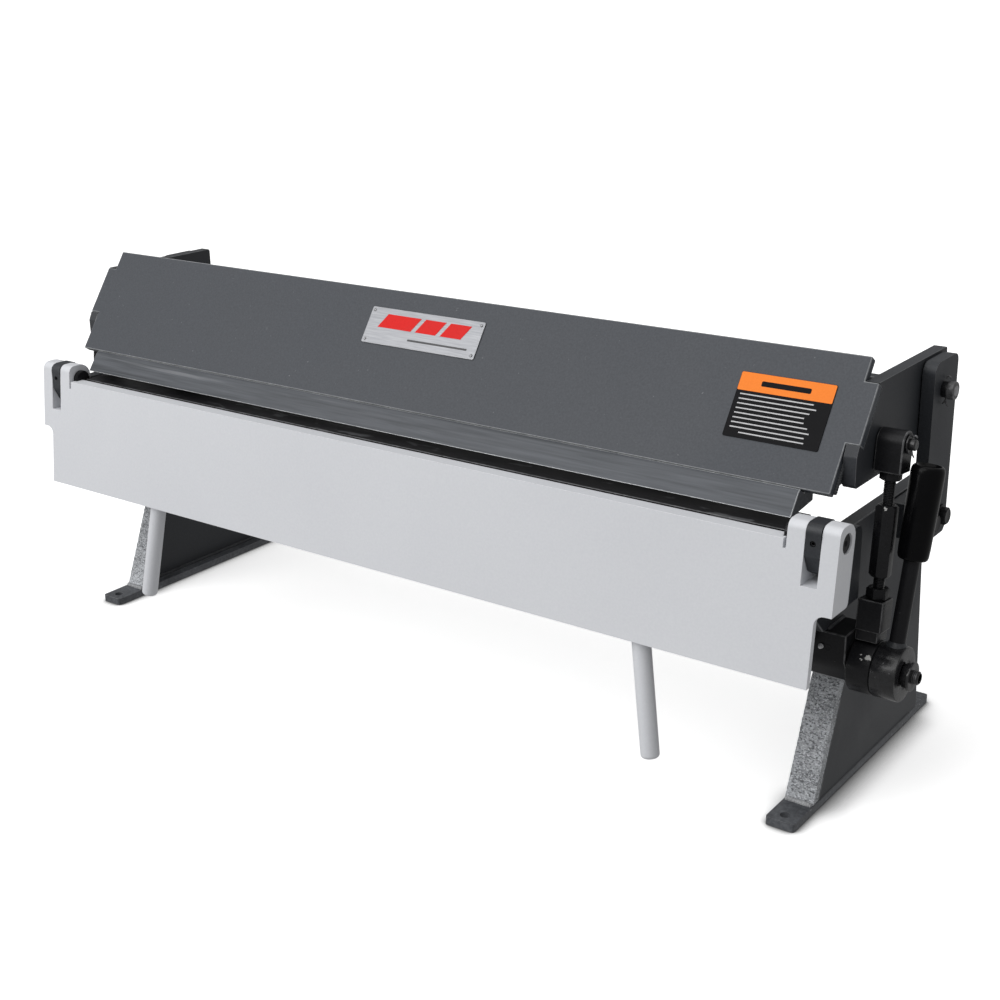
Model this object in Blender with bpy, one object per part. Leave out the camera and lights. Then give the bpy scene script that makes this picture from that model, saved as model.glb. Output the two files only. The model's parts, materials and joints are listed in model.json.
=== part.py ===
"""Bench-top sheet metal brake with a bending apron, a clamping beam and two clamp levers.

Design values are in millimetres: X to the right, Y to the rear and Z up from the surface that the
feet rest on.  DEPTH_CENTRE is taken off every Y, so the origin lies under the middle of the brake.
Pieces on the left are mirror images of those on the right (side is +1 on the right, -1 on the left).
"""
import math

import bmesh
import bpy
from mathutils import Vector

MM = 0.001
GAP = 0.3                     # room between pieces that touch
SEGMENTS = 18                 # sides of a round piece
DEPTH_CENTRE = 174.2
SIDES = (("left", -1), ("right", 1))

# Feet and legs
FOOT_INNER, FOOT_OUTER = 447.0, 476.0
FOOT_FRONT, FOOT_REAR = 37.7, 355.4
FOOT_THICKNESS = 8.0
FOOT_HOLE_RADIUS = 5.0
FOOT_HOLE_YS = (50.0, 342.0)
FLANGE_BOTTOM_Y = 77.4        # front face of the leg flange at the foot
FLANGE_TOP_Y, FLANGE_TOP_Z = 124.0, 121.4
FLANGE_THICKNESS = 10.0
SIDE_INNER = 462.0
SIDE_FRONT_Y, SIDE_TOP_Z = 56.3, 270.0
SIDE_REAR_FOOT_Y, SIDE_REAR_KNEE, SIDE_REAR_TOP_Y = 322.0, (307.0, 171.0), 304.0

# Bearing blocks of the clamp shafts
BLOCK_INNER, BLOCK_OUTER = 446.0, 496.0
BLOCK_FRONT_Y, BLOCK_REAR_Y = 82.0, 122.0
BLOCK_BOTTOM_Z, BLOCK_TOP_Z = 134.0, 184.0

# Upright arms that carry the clamping beam
ARM_INNER, ARM_OUTER = 498.5, 510.5
ARM_FRONT_Y, ARM_REAR_Y = 209.5, 265.0
ARM_BOTTOM_Z, ARM_TOP_Z = 231.0, 405.0
ARM_FOOT_CHAMFER = 5.0
SPACER_TOP_Z = 268.0
PIVOT_Y, PIVOT_Z = 232.0, 377.0
PIVOT_RADIUS, PIVOT_END_X = 7.0, 520.5

# Apron hinge: axis along X
HINGE_Y, HINGE_Z = 31.5, 291.5
PIN_RADIUS = 9.0
PIN_INNER_X, PIN_OUTER_X = 460.0, 512.3
COLLAR_RADIUS = 10.0
LUG_INNER, LUG_OUTER = 483.0, 497.0
LUG_FRONT_Y, LUG_TOP_Z = 15.0, 308.0
BRACKET_REAR_Y, BRACKET_TOP_Z, BRACKET_BOTTOM_Z = 100.0, 285.0, 215.0
SET_SCREW_RADIUS = 2.6

# Bed
BED_HALF = 457.5
BED_FRONT_Y, BED_REAR_Y = 33.5, 80.0
BED_BOTTOM_Z, BED_TOP_Z = 255.0, 291.5
BEAM_WEB_FRONT_Y, BEAM_WEB_REAR_Y, BEAM_WEB_BOTTOM_Z = 58.0, 70.0, 165.0
BEAM_FLANGE_FRONT_Y, BEAM_FLANGE_REAR_Y, BEAM_FLANGE_BOTTOM_Z = 45.0, 85.0, 243.0
TIE_Y, TIE_Z, TIE_RADIUS = 285.0, 190.0, 10.0
STOP_X, STOP_Z, STOP_RADIUS = 200.0, 228.0, 6.0

# Apron: a leaf with a thick top edge, hanging back at the top by APRON_TILT
APRON_TILT = math.radians(7.0)
APRON_HALF = 498.0
APRON_BOTTOM_Z, APRON_TOP_Z = 165.5, 291.0
LEAF_THICKNESS = 6.3
EDGE_DEPTH, EDGE_HEIGHT = 14.5, 18.0
SLIT_INNER, SLIT_BOTTOM_Z = 463.2, 282.5
EAR_INNER, EAR_OUTER = 466.0, 513.5
EAR_THICKNESS = 31.0
EAR_BOTTOM_Z, EAR_TOP_Z = 232.0, 308.0
SLOT_INNER, SLOT_OUTER, SLOT_BOTTOM_Z = 482.5, 497.5, 254.0
EAR_FILLET = 9.0
HANDLE_RADIUS = 9.0
HANDLE_X, HANDLE_Z = 347.2, 57.0      # centre line near its lower end
HANDLE_LEAN = 0.206                   # inward run for each unit of rise
HANDLE_BOTTOM_Z, HANDLE_TOP_Z = 52.5, 222.0

# Clamping beam: the panel's front face runs up and back from PANEL_FOOT
PANEL_SLOPE = math.radians(55.0)
PANEL_FOOT_Y, PANEL_FOOT_Z = 56.3, 321.8
PANEL_LENGTH, PANEL_THICKNESS = 127.0, 9.0
PANEL_HALF, PANEL_TAB_HALF = 484.0, 497.0
TAB_START, TAB_END = 46.6, 104.0
END_INNER, END_OUTER = 485.0, 497.0
END_BOTTOM_Z, END_FRONT_Y, END_REAR_Y = 322.0, 78.0, 271.0
RAIL_FRONT_Y, RAIL_REAR_Y, RAIL_BOTTOM_Z, RAIL_TOP_Z = 172.0, 184.0, 334.0, 396.0
NOSE_HALF = 457.5
NOSE_TIP = (39.0, 300.5)
NOSE_CREST = (52.7, 319.2)
NOSE_SOLE = (46.0, 300.2)
NOSE_REAR_Y, NOSE_REAR_Z = 82.0, 304.0
NOSE_TUCK = 16.0                      # how far the bar reaches up behind the panel
PLATE_X, PLATE_S, PLATE_DEPTH = (-70.0, 79.0), (64.5, 105.4), 0.8
LABEL_X, LABEL_S, LABEL_DEPTH = (370.0, 462.0), (34.5, 96.3), 0.5

# Links and clamp shafts
SHAFT_Y, SHAFT_Z = 104.6, 150.5
SHAFT_RADIUS, SHAFT_INNER_X = 10.0, 440.0
THROW = 4.85                          # eccentric's centre above the shaft at rest
ECCENTRIC_RADIUS, STRAP_BORE, STRAP_RADIUS = 15.5, 17.5, 25.2
STRAP_INNER, STRAP_OUTER = 497.5, 519.2
LINK_PIN_Y, LINK_PIN_Z, LINK_PIN_RADIUS, LINK_PIN_END_X = 125.0, 355.0, 5.0, 530.5
LINK_X = 510.5
LINK_INNER, LINK_OUTER = 498.0, 523.0
LINK_HALF_DEPTH = 11.5
STUD_RADIUS = 5.0
EYE_BOTTOM = 174.5                    # distances up the link from the eccentric's centre
BODY_BOTTOM, BODY_TOP = 79.5, 144.9
STRAP_SHOULDER, STRAP_TOP = 30.0, 59.0
NUT_HEIGHT, NUT_CORNER = 7.0, 9.8
LOWER_NUT_HEIGHT, LOWER_NUT_CORNER = 10.0, 10.5
BODY_CORNER = 10.0

# Clamp levers
SPINDLE_RADIUS, SPINDLE_END_X = 6.0, 557.0
HUB_INNER, HUB_OUTER, HUB_RADIUS = 519.7, 543.0, 25.2
LEVER_LEAN = math.radians(9.5)
LEVER_SPLAY = 7.4 / 190.0             # outward run for each unit along the lever
LEVER_RADIUS, LEVER_START, LEVER_END = 7.2, 12.0, 181.0
GRIP_START, GRIP_END = 104.0, 188.0
GRIP_FOOT_RADIUS, GRIP_HEAD_RADIUS = 13.5, 14.7

COLOURS = {                           # colour, roughness, metallic
    "panel_grey": ((0.10, 0.11, 0.125), 0.45, 0.1),
    "nose_grey": ((0.22, 0.24, 0.26), 0.4, 0.4),
    "dark_grey": ((0.03, 0.032, 0.037), 0.5, 0.2),
    "apron_paint": ((0.62, 0.63, 0.65), 0.35, 0.0),
    "black_steel": ((0.012, 0.012, 0.014), 0.35, 0.5),
    "grip_black": ((0.006, 0.006, 0.007), 0.2, 0.0),
    "silver": ((0.5, 0.5, 0.52), 0.35, 0.9),
    "orange": ((1.0, 0.26, 0.06), 0.5, 0.0),
}


# ---------------------------------------------------------------- building blocks

def material(name):
    """The named Principled material, made the first time it is asked for."""
    known = bpy.data.materials.get(name)
    if known:
        return known
    colour, roughness, metallic = COLOURS[name]
    made = bpy.data.materials.new(name)
    made.use_nodes = True
    shader = made.node_tree.nodes["Principled BSDF"]
    shader.inputs["Base Color"].default_value = (*colour, 1.0)
    shader.inputs["Roughness"].default_value = roughness
    shader.inputs["Metallic"].default_value = metallic
    return made


def add_object(name, bm, origin=(0.0, DEPTH_CENTRE, 0.0), smooth=False):
    """Turn a bmesh in design millimetres into an object in metres with its origin at the point."""
    bmesh.ops.recalc_face_normals(bm, faces=bm.faces)
    for vert in bm.verts:
        vert.co = (vert.co - Vector(origin)) * MM
    mesh = bpy.data.meshes.new(name)
    bm.to_mesh(mesh)
    bm.free()
    obj = bpy.data.objects.new(name, mesh)
    obj.location = (Vector(origin) - Vector((0.0, DEPTH_CENTRE, 0.0))) * MM
    bpy.context.collection.objects.link(obj)
    if smooth:
        mesh.shade_smooth()
        mesh.set_sharp_from_angle(angle=math.radians(35.0))
    return obj


def add_piece(name, bm, colour, origin=(0.0, DEPTH_CENTRE, 0.0), smooth=False):
    """A sub-part: an object with its own material."""
    piece = add_object(name, bm, origin, smooth)
    piece.data.materials.append(material(colour))
    return piece


def combine(piece, bm, operation="DIFFERENCE"):
    """Cut the bmesh's solid out of the piece, or join it on with operation UNION."""
    tool = add_object(f"{piece.name}_tool_{len(piece.modifiers)}", bm)
    tool.hide_render = True
    tool.display_type = "WIRE"
    modifier = piece.modifiers.new(tool.name, "BOOLEAN")
    modifier.operation = operation
    modifier.object = tool


def prism(outline, low, high, place):
    """A flat outline drawn out from low to high; place turns (a, b, depth) into X, Y, Z."""
    bm = bmesh.new()
    near = [bm.verts.new(place(a, b, low)) for a, b in outline]
    far = [bm.verts.new(place(a, b, high)) for a, b in outline]
    bm.faces.new(near)
    bm.faces.new(far)
    for index in range(len(outline)):
        following = (index + 1) % len(outline)
        bm.faces.new((near[index], near[following], far[following], far[index]))
    return bm


def along_x(outline, low, high, side=1):
    """A Y-Z outline drawn out along X, on the left or the right."""
    return prism(outline, low, high, lambda y, z, x: (side * x, y, z))


def box(x_range, y_range, z_range, side=1):
    """A plain block."""
    return along_x(corners(y_range, z_range), x_range[0], x_range[1], side)


def corners(a_range, b_range):
    """The four corners of a rectangle."""
    return [(a_range[0], b_range[0]), (a_range[1], b_range[0]),
            (a_range[1], b_range[1]), (a_range[0], b_range[1])]


def rounded(outline, radii, steps=5):
    """The outline with each corner turned into an arc of its own radius, or kept sharp at 0."""
    points = [Vector(point) for point in outline]
    result = []
    for index, corner in enumerate(points):
        radius = radii[index]
        if not radius:
            result.append(tuple(corner))
            continue
        before = (points[index - 1] - corner).normalized()
        after = (points[(index + 1) % len(points)] - corner).normalized()
        half = before.angle(after) / 2.0
        centre = corner + (before + after).normalized() * (radius / math.sin(half))
        start = corner + before * (radius / math.tan(half)) - centre
        end = corner + after * (radius / math.tan(half)) - centre
        for step in range(steps + 1):
            spoke = start.slerp(end, step / steps).normalized() * radius
            result.append(tuple(centre + spoke))
    return result


def turned(profile, start, direction, segments=SEGMENTS):
    """A solid of revolution from (distance, radius) pairs along a line."""
    axis = Vector(direction).normalized()
    helper = Vector((0, 0, 1)) if abs(axis.x) > 0.9 else Vector((1, 0, 0))
    first = (helper - axis * helper.dot(axis)).normalized()
    second = axis.cross(first)
    bm = bmesh.new()
    rings = []
    for distance, radius in profile:
        centre = Vector(start) + axis * distance
        ring = []
        for index in range(segments):
            angle = math.tau * index / segments
            spoke = first * math.cos(angle) + second * math.sin(angle)
            ring.append(bm.verts.new(centre + spoke * radius))
        rings.append(ring)
    bm.faces.new(rings[0])
    bm.faces.new(rings[-1])
    for lower, upper in zip(rings, rings[1:]):
        for index in range(segments):
            following = (index + 1) % segments
            bm.faces.new((lower[index], lower[following], upper[following], upper[index]))
    return bm


def cross_rod(side, x_range, y, z, radius):
    """A plain cylinder along X."""
    length = x_range[1] - x_range[0]
    return turned([(0.0, radius), (length, radius)], (side * x_range[0], y, z), (side, 0, 0))


def hex_prism(start, direction, height, corner_radius):
    """A six-sided nut or bolt head with its corners chamfered."""
    slope = 1.2
    profile = [(0.0, corner_radius - slope), (slope / 2, corner_radius),
               (height - slope / 2, corner_radius), (height, corner_radius - slope)]
    return turned(profile, start, direction, segments=6)


# ---------------------------------------------------------------- frame

def add_foot(name, side):
    """The bar on the bench, with a bolt hole at each end."""
    outline = rounded(corners((FOOT_INNER, FOOT_OUTER), (FOOT_FRONT, FOOT_REAR)), (3.0,) * 4, 3)
    bm = prism(outline, 0.0, FOOT_THICKNESS, lambda x, y, z: (side * x, y, z))
    foot = add_piece(f"{name}_foot_plate", bm, "dark_grey")
    hole_x = side * (FOOT_INNER + FOOT_OUTER) / 2
    for hole_y in FOOT_HOLE_YS:
        profile = [(0.0, FOOT_HOLE_RADIUS), (FOOT_THICKNESS + 4.0, FOOT_HOLE_RADIUS)]
        combine(foot, turned(profile, (hole_x, hole_y, -2.0), (0, 0, 1)))


def flange_outline():
    """The leg flange seen from the side: a bar that leans back as it rises from the foot."""
    bottom_z = FOOT_THICKNESS + GAP
    rise = Vector((FLANGE_TOP_Y - FLANGE_BOTTOM_Y, FLANGE_TOP_Z - bottom_z)).normalized()
    back_top = Vector((FLANGE_TOP_Y, FLANGE_TOP_Z)) + Vector((rise.y, -rise.x)) * FLANGE_THICKNESS
    back_bottom_y = FLANGE_BOTTOM_Y + FLANGE_THICKNESS / rise.y
    return [(FLANGE_BOTTOM_Y, bottom_z), (back_bottom_y, bottom_z), tuple(back_top),
            (FLANGE_TOP_Y, FLANGE_TOP_Z)]


def add_leg(name, side):
    """The sloping front flange, and the side plate that stands behind it on the foot."""
    outline = flange_outline()
    add_piece(f"{name}_leg_flange", along_x(outline, FOOT_INNER, FOOT_OUTER, side), "dark_grey")
    foot_z = FOOT_THICKNESS + GAP
    back_bottom, back_top = outline[1], outline[2]
    side_outline = [
        (back_bottom[0] + 2 * GAP, foot_z), (SIDE_REAR_FOOT_Y, foot_z), SIDE_REAR_KNEE,
        (SIDE_REAR_TOP_Y, SIDE_TOP_Z), (SIDE_FRONT_Y, SIDE_TOP_Z), (SIDE_FRONT_Y, 206.0),
        (BLOCK_FRONT_Y - 4.0, BLOCK_TOP_Z + GAP), (BLOCK_REAR_Y + GAP, BLOCK_TOP_Z + GAP),
        (BLOCK_REAR_Y + GAP, BLOCK_BOTTOM_Z - 3.0), (back_top[0] + 2 * GAP, FLANGE_TOP_Z + 3.0),
        (back_top[0] + 2 * GAP, back_top[1])]
    radii = (0, 0, 60.0, 12.0, 4.0, 0, 0, 0, 0, 0, 0)
    bm = along_x(rounded(side_outline, radii), SIDE_INNER, FOOT_OUTER, side)
    add_piece(f"{name}_side_plate", bm, "dark_grey")


def add_bearing_block(name, side):
    """The block that the clamp shaft turns in, with its lower front corner cut back."""
    outline = [(BLOCK_FRONT_Y, 158.0), (88.5, 146.0), (96.0, BLOCK_BOTTOM_Z),
               (BLOCK_REAR_Y, BLOCK_BOTTOM_Z), (BLOCK_REAR_Y, BLOCK_TOP_Z),
               (BLOCK_FRONT_Y, BLOCK_TOP_Z)]
    block = add_piece(f"{name}_bearing_block", along_x(outline, BLOCK_INNER, BLOCK_OUTER, side),
                      "black_steel")
    bore = cross_rod(side, (BLOCK_INNER - 2, BLOCK_OUTER + 2), SHAFT_Y, SHAFT_Z,
                     SHAFT_RADIUS + GAP)
    combine(block, bore)


def add_arm(name, side):
    """The upright arm, the spacer that stands it off the side plate, and the pivot bolt and nut."""
    foot_y = ARM_REAR_Y - ARM_FOOT_CHAMFER
    outline = [(ARM_FRONT_Y, ARM_BOTTOM_Z), (foot_y, ARM_BOTTOM_Z),
               (ARM_REAR_Y, ARM_BOTTOM_Z + ARM_FOOT_CHAMFER), (ARM_REAR_Y, ARM_TOP_Z),
               (ARM_FRONT_Y, ARM_TOP_Z)]
    bm = along_x(rounded(outline, (2.0, 1.0, 1.0, 8.0, 11.0)), ARM_INNER, ARM_OUTER, side)
    arm = add_piece(f"{name}_arm", bm, "dark_grey")
    bore = cross_rod(side, (ARM_INNER - 2, ARM_OUTER + 2), PIVOT_Y, PIVOT_Z, PIVOT_RADIUS + GAP)
    combine(arm, bore)

    inset = 2.0
    spacer = [(ARM_FRONT_Y + inset, ARM_BOTTOM_Z + inset), (foot_y - inset, ARM_BOTTOM_Z + inset),
              (ARM_REAR_Y - inset, ARM_BOTTOM_Z + ARM_FOOT_CHAMFER + inset),
              (ARM_REAR_Y - inset, SPACER_TOP_Z), (ARM_FRONT_Y + inset, SPACER_TOP_Z)]
    bm = along_x(spacer, FOOT_OUTER + GAP, ARM_INNER - GAP, side)
    add_piece(f"{name}_arm_spacer", bm, "dark_grey")

    head_height, head_corner = 10.0, 12.0
    head_x = END_INNER - GAP - head_height
    head = hex_prism((side * head_x, PIVOT_Y, PIVOT_Z), (side, 0, 0), head_height, head_corner)
    bolt = add_piece(f"{name}_pivot_bolt", head, "black_steel")
    length = PIVOT_END_X - head_x
    shoulder = ARM_OUTER + 2.0 - head_x
    shank = [(5.0, PIVOT_RADIUS), (shoulder, PIVOT_RADIUS), (shoulder, PIVOT_RADIUS - 2.0),
             (length, PIVOT_RADIUS - 2.0)]
    combine(bolt, turned(shank, (side * head_x, PIVOT_Y, PIVOT_Z), (side, 0, 0)), "UNION")
    collar_x = PIVOT_END_X - 5.0
    profile = [(0.0, 7.6), (1.0, 8.6), (6.0, 8.6), (7.0, 7.6)]
    collar = turned(profile, (side * collar_x, PIVOT_Y, PIVOT_Z), (side, 0, 0))
    pivot_collar = add_piece(f"{name}_pivot_collar", collar, "black_steel", smooth=True)
    reach = (collar_x - 2, PIVOT_END_X + 0.5)
    combine(pivot_collar, cross_rod(side, reach, PIVOT_Y, PIVOT_Z, PIVOT_RADIUS - 2.0 + GAP))


def add_hinge(name, side):
    """The bracket whose lug fits the apron's fork, its hinge pin and the pin's set screw."""
    outline = [(LUG_FRONT_Y, LUG_TOP_Z), (LUG_FRONT_Y, 279.0), (22.0, 264.0), (34.0, 257.5),
               (48.0, 258.0), (62.0, 246.0), (62.0, BRACKET_BOTTOM_Z),
               (BRACKET_REAR_Y, BRACKET_BOTTOM_Z), (BRACKET_REAR_Y, BRACKET_TOP_Z),
               (58.0, BRACKET_TOP_Z), (43.0, 299.0), (41.0, LUG_TOP_Z)]
    radii = (8.0, 6.0, 6.0, 6.0, 4.0, 6.0, 0, 0, 8.0, 6.0, 0, 5.0)
    bm = along_x(rounded(outline, radii, 3), LUG_INNER, LUG_OUTER, side)
    bracket = add_piece(f"{name}_hinge_bracket", bm, "dark_grey")
    combine(bracket, box((FOOT_OUTER + GAP, LUG_INNER + 4), (66.0, 98.0), (217.0, 267.0), side),
            "UNION")
    bore = cross_rod(side, (LUG_INNER - 2, LUG_OUTER + 2), HINGE_Y, HINGE_Z, PIN_RADIUS + GAP)
    combine(bracket, bore)
    screw_x = side * (LUG_INNER + LUG_OUTER) / 2
    hole = [(0.0, SET_SCREW_RADIUS + GAP), (12.0, SET_SCREW_RADIUS + GAP)]
    combine(bracket, turned(hole, (screw_x, LUG_FRONT_Y - 2.0, HINGE_Z), (0, 1, 0), 12))

    length = PIN_OUTER_X - PIN_INNER_X
    collar = EAR_INNER - 2 * GAP - PIN_INNER_X
    profile = [(0.0, COLLAR_RADIUS - 1.0), (1.0, COLLAR_RADIUS), (collar, COLLAR_RADIUS),
               (collar, PIN_RADIUS), (length - 1.0, PIN_RADIUS), (length, PIN_RADIUS - 1.0)]
    bm = turned(profile, (side * PIN_INNER_X, HINGE_Y, HINGE_Z), (side, 0, 0))
    add_piece(f"{name}_hinge_pin", bm, "black_steel", smooth=True)

    screw_length = HINGE_Y - PIN_RADIUS - GAP - (LUG_FRONT_Y + 1.0)
    profile = [(0.0, SET_SCREW_RADIUS), (screw_length, SET_SCREW_RADIUS - 0.4)]
    bm = turned(profile, (screw_x, LUG_FRONT_Y + 1.0, HINGE_Z), (0, 1, 0), 12)
    add_piece(f"{name}_set_screw", bm, "black_steel", smooth=True)


def add_bed():
    """The lower jaw, the T-shaped beam under it, the rear tie and the apron's stop screws."""
    jaw = corners((BED_FRONT_Y, BED_REAR_Y), (BED_BOTTOM_Z, BED_TOP_Z))
    add_piece("bed_jaw", along_x(jaw, -BED_HALF, BED_HALF), "black_steel")

    half = SIDE_INNER - GAP
    top_z = BED_BOTTOM_Z - GAP
    section = [(BEAM_WEB_FRONT_Y, BEAM_WEB_BOTTOM_Z), (BEAM_WEB_REAR_Y, BEAM_WEB_BOTTOM_Z),
               (BEAM_WEB_REAR_Y, BEAM_FLANGE_BOTTOM_Z), (BEAM_FLANGE_REAR_Y, BEAM_FLANGE_BOTTOM_Z),
               (BEAM_FLANGE_REAR_Y, top_z), (BEAM_FLANGE_FRONT_Y, top_z),
               (BEAM_FLANGE_FRONT_Y, BEAM_FLANGE_BOTTOM_Z), (BEAM_WEB_FRONT_Y, BEAM_FLANGE_BOTTOM_Z)]
    bed_beam = add_piece("bed_beam", along_x(section, -half, half), "dark_grey")
    add_piece("rear_tie_bar", turned([(0.0, TIE_RADIUS), (2 * half, TIE_RADIUS)],
                                     (-half, TIE_Y, TIE_Z), (1, 0, 0)), "dark_grey", smooth=True)

    tip_y = apron_front(STOP_Z) + LEAF_THICKNESS / math.cos(APRON_TILT) + GAP
    head_y = BEAM_WEB_REAR_Y + GAP
    for name, side in SIDES:
        tip = (side * STOP_X, tip_y + 0.6, STOP_Z)
        hole = [(0.0, STOP_RADIUS + GAP), (20.0, STOP_RADIUS + GAP)]
        combine(bed_beam, turned(hole, (side * STOP_X, BEAM_WEB_FRONT_Y - 4, STOP_Z), (0, 1, 0)))
        profile = [(0.0, STOP_RADIUS - 1.5), (1.5, STOP_RADIUS), (head_y - tip_y + 3, STOP_RADIUS)]
        screw = add_piece(f"{name}_apron_stop", turned(profile, tip, (0, 1, 0)), "black_steel")
        head = hex_prism((side * STOP_X, head_y, STOP_Z), (0, 1, 0), 8.0, 11.0)
        combine(screw, head, "UNION")


# ---------------------------------------------------------------- apron

def apron_front(z):
    """Y of the apron's front face at height z."""
    return (z - APRON_BOTTOM_Z) * math.tan(APRON_TILT)


def apron_section():
    """The leaf's section: a thin plate with a thick bending edge along its top."""
    across = 1.0 / math.cos(APRON_TILT)
    thin, thick = LEAF_THICKNESS * across, EDGE_DEPTH * across
    step_z = APRON_TOP_Z - EDGE_HEIGHT
    fillet = 6.0
    return [(0.0, APRON_BOTTOM_Z), (thin, APRON_BOTTOM_Z),
            (apron_front(step_z - fillet) + thin, step_z - fillet),
            (apron_front(step_z) + thick, step_z),
            (apron_front(APRON_TOP_Z) + thick, APRON_TOP_Z),
            (apron_front(APRON_TOP_Z), APRON_TOP_Z)]


def ear_outline():
    """An ear seen from the side, with its top corners rounded."""
    depth = EAR_THICKNESS / math.cos(APRON_TILT)
    low, high = apron_front(EAR_BOTTOM_Z), apron_front(EAR_TOP_Z)
    outline = [(low, EAR_BOTTOM_Z), (low + depth, EAR_BOTTOM_Z), (high + depth, EAR_TOP_Z),
               (high, EAR_TOP_Z)]
    return rounded(outline, (0, 5.0, 14.0, 8.0))


def fillet_outline():
    """The rounded web between an ear's lower face and the leaf's end, as X and Z."""
    centre_x, centre_z = APRON_HALF + EAR_FILLET, EAR_BOTTOM_Z - EAR_FILLET
    arc = []
    for step in range(6):
        angle = math.radians(90.0 + 18.0 * step)
        arc.append((centre_x + EAR_FILLET * math.cos(angle), centre_z + EAR_FILLET * math.sin(angle)))
    return [(APRON_HALF - 5.0, centre_z), (APRON_HALF - 5.0, EAR_BOTTOM_Z + 4.0),
            (centre_x, EAR_BOTTOM_Z + 4.0)] + arc


def add_apron():
    """The bending leaf with a forked ear at each end, as one welded piece."""
    hinge = (0.0, HINGE_Y, HINGE_Z)
    bm = along_x(apron_section(), -APRON_HALF, APRON_HALF)
    leaf = add_piece("apron_leaf", bm, "apron_paint", hinge)
    for _, side in SIDES:
        combine(leaf, along_x(ear_outline(), EAR_INNER, EAR_OUTER, side), "UNION")
        web = prism(fillet_outline(), 0.0, LEAF_THICKNESS - 0.5,
                    lambda x, z, y, side=side: (side * x, apron_front(z) + y, z))
        combine(leaf, web, "UNION")
        combine(leaf, box((SLOT_INNER, SLOT_OUTER), (-20, 80), (SLOT_BOTTOM_Z, 330), side))
        combine(leaf, box((SLIT_INNER, EAR_INNER), (-20, 80), (SLIT_BOTTOM_Z, 330), side))
        bore = cross_rod(side, (EAR_INNER - 2, EAR_OUTER + 4), HINGE_Y, HINGE_Z, PIN_RADIUS + GAP)
        combine(leaf, bore)
        collar_room = cross_rod(side, (PIN_INNER_X - GAP, EAR_INNER), HINGE_Y, HINGE_Z,
                                COLLAR_RADIUS + GAP)
        combine(leaf, collar_room)
    offset = (LEAF_THICKNESS + GAP + HANDLE_RADIUS) / math.cos(APRON_TILT)
    for name, side in SIDES:
        ends = []
        for z in (HANDLE_BOTTOM_Z, HANDLE_TOP_Z):
            x = side * (HANDLE_X - (z - HANDLE_Z) * HANDLE_LEAN)
            ends.append(Vector((x, apron_front(z) + offset, z)))
        length = (ends[1] - ends[0]).length
        profile = dome(HANDLE_RADIUS, 4.0)
        profile += [(length - distance, radius) for distance, radius in reversed(profile)]
        bm = turned(profile, ends[0], ends[1] - ends[0])
        add_piece(f"{name}_handle_rod", bm, "apron_paint", hinge, smooth=True)


def dome(radius, height):
    """The start of a turned profile with a rounded end."""
    result = []
    for step in range(4):
        angle = math.radians(15.0 + 25.0 * step)
        result.append((height * (1.0 - math.cos(math.pi / 2 - angle)), radius * math.sin(angle)))
    return result


# ---------------------------------------------------------------- clamping beam

def panel_point(x, s, n):
    """A point s up the panel from its foot and n behind its front face."""
    y = PANEL_FOOT_Y + s * math.cos(PANEL_SLOPE) + n * math.sin(PANEL_SLOPE)
    z = PANEL_FOOT_Z + s * math.sin(PANEL_SLOPE) - n * math.cos(PANEL_SLOPE)
    return (x, y, z)


def panel_profile(s, n):
    """The same point as Y and Z."""
    return panel_point(0.0, s, n)[1:]


def add_beam_front(pivot):
    """The sloping panel, the bevelled nose bar under it, and the two plates on the panel."""
    half = [(PANEL_HALF, 0.0), (PANEL_HALF, TAB_START), (PANEL_TAB_HALF, TAB_START),
            (PANEL_TAB_HALF, TAB_END), (PANEL_HALF, TAB_END), (PANEL_HALF, PANEL_LENGTH)]
    outline = half + [(-x, s) for x, s in reversed(half)]
    bm = prism(outline, 0.0, PANEL_THICKNESS, panel_point)
    add_piece("clamp_panel", bm, "panel_grey", pivot)

    behind = PANEL_THICKNESS + 2 * GAP
    top_z = panel_profile(NOSE_TUCK, behind)[1]
    nose = [NOSE_TIP, NOSE_SOLE, (NOSE_REAR_Y, NOSE_REAR_Z), (NOSE_REAR_Y, top_z),
            panel_profile(NOSE_TUCK, behind), panel_profile(-GAP, behind),
            panel_profile(-GAP, 0.0), NOSE_CREST]
    add_piece("nose_bar", along_x(nose, -NOSE_HALF, NOSE_HALF), "nose_grey", pivot)

    for name, colour, x_range, s_range, depth in (
            ("nameplate", "silver", PLATE_X, PLATE_S, PLATE_DEPTH),
            ("label_plate", "orange", LABEL_X, LABEL_S, LABEL_DEPTH)):
        outline = rounded(corners(x_range, s_range), (1.5,) * 4, 3)
        bm = prism(outline, -GAP - depth, -GAP, panel_point)
        add_piece(name, bm, colour, pivot)


def end_outline():
    """An end plate from the side: its front edge follows the panel's back and wraps its tab."""
    behind = PANEL_THICKNESS + GAP
    tab_low, tab_high = TAB_START - GAP, TAB_END + GAP
    under_tab = panel_profile(tab_low, 0.0)
    over_tab = panel_profile(tab_high, 0.0)
    return [panel_profile(tab_high, behind), over_tab, (END_REAR_Y, over_tab[1]),
            (END_REAR_Y, 350.0), (190.0, END_BOTTOM_Z), (END_FRONT_Y, END_BOTTOM_Z),
            (END_FRONT_Y, 350.0), under_tab, panel_profile(tab_low, behind)]


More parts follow.
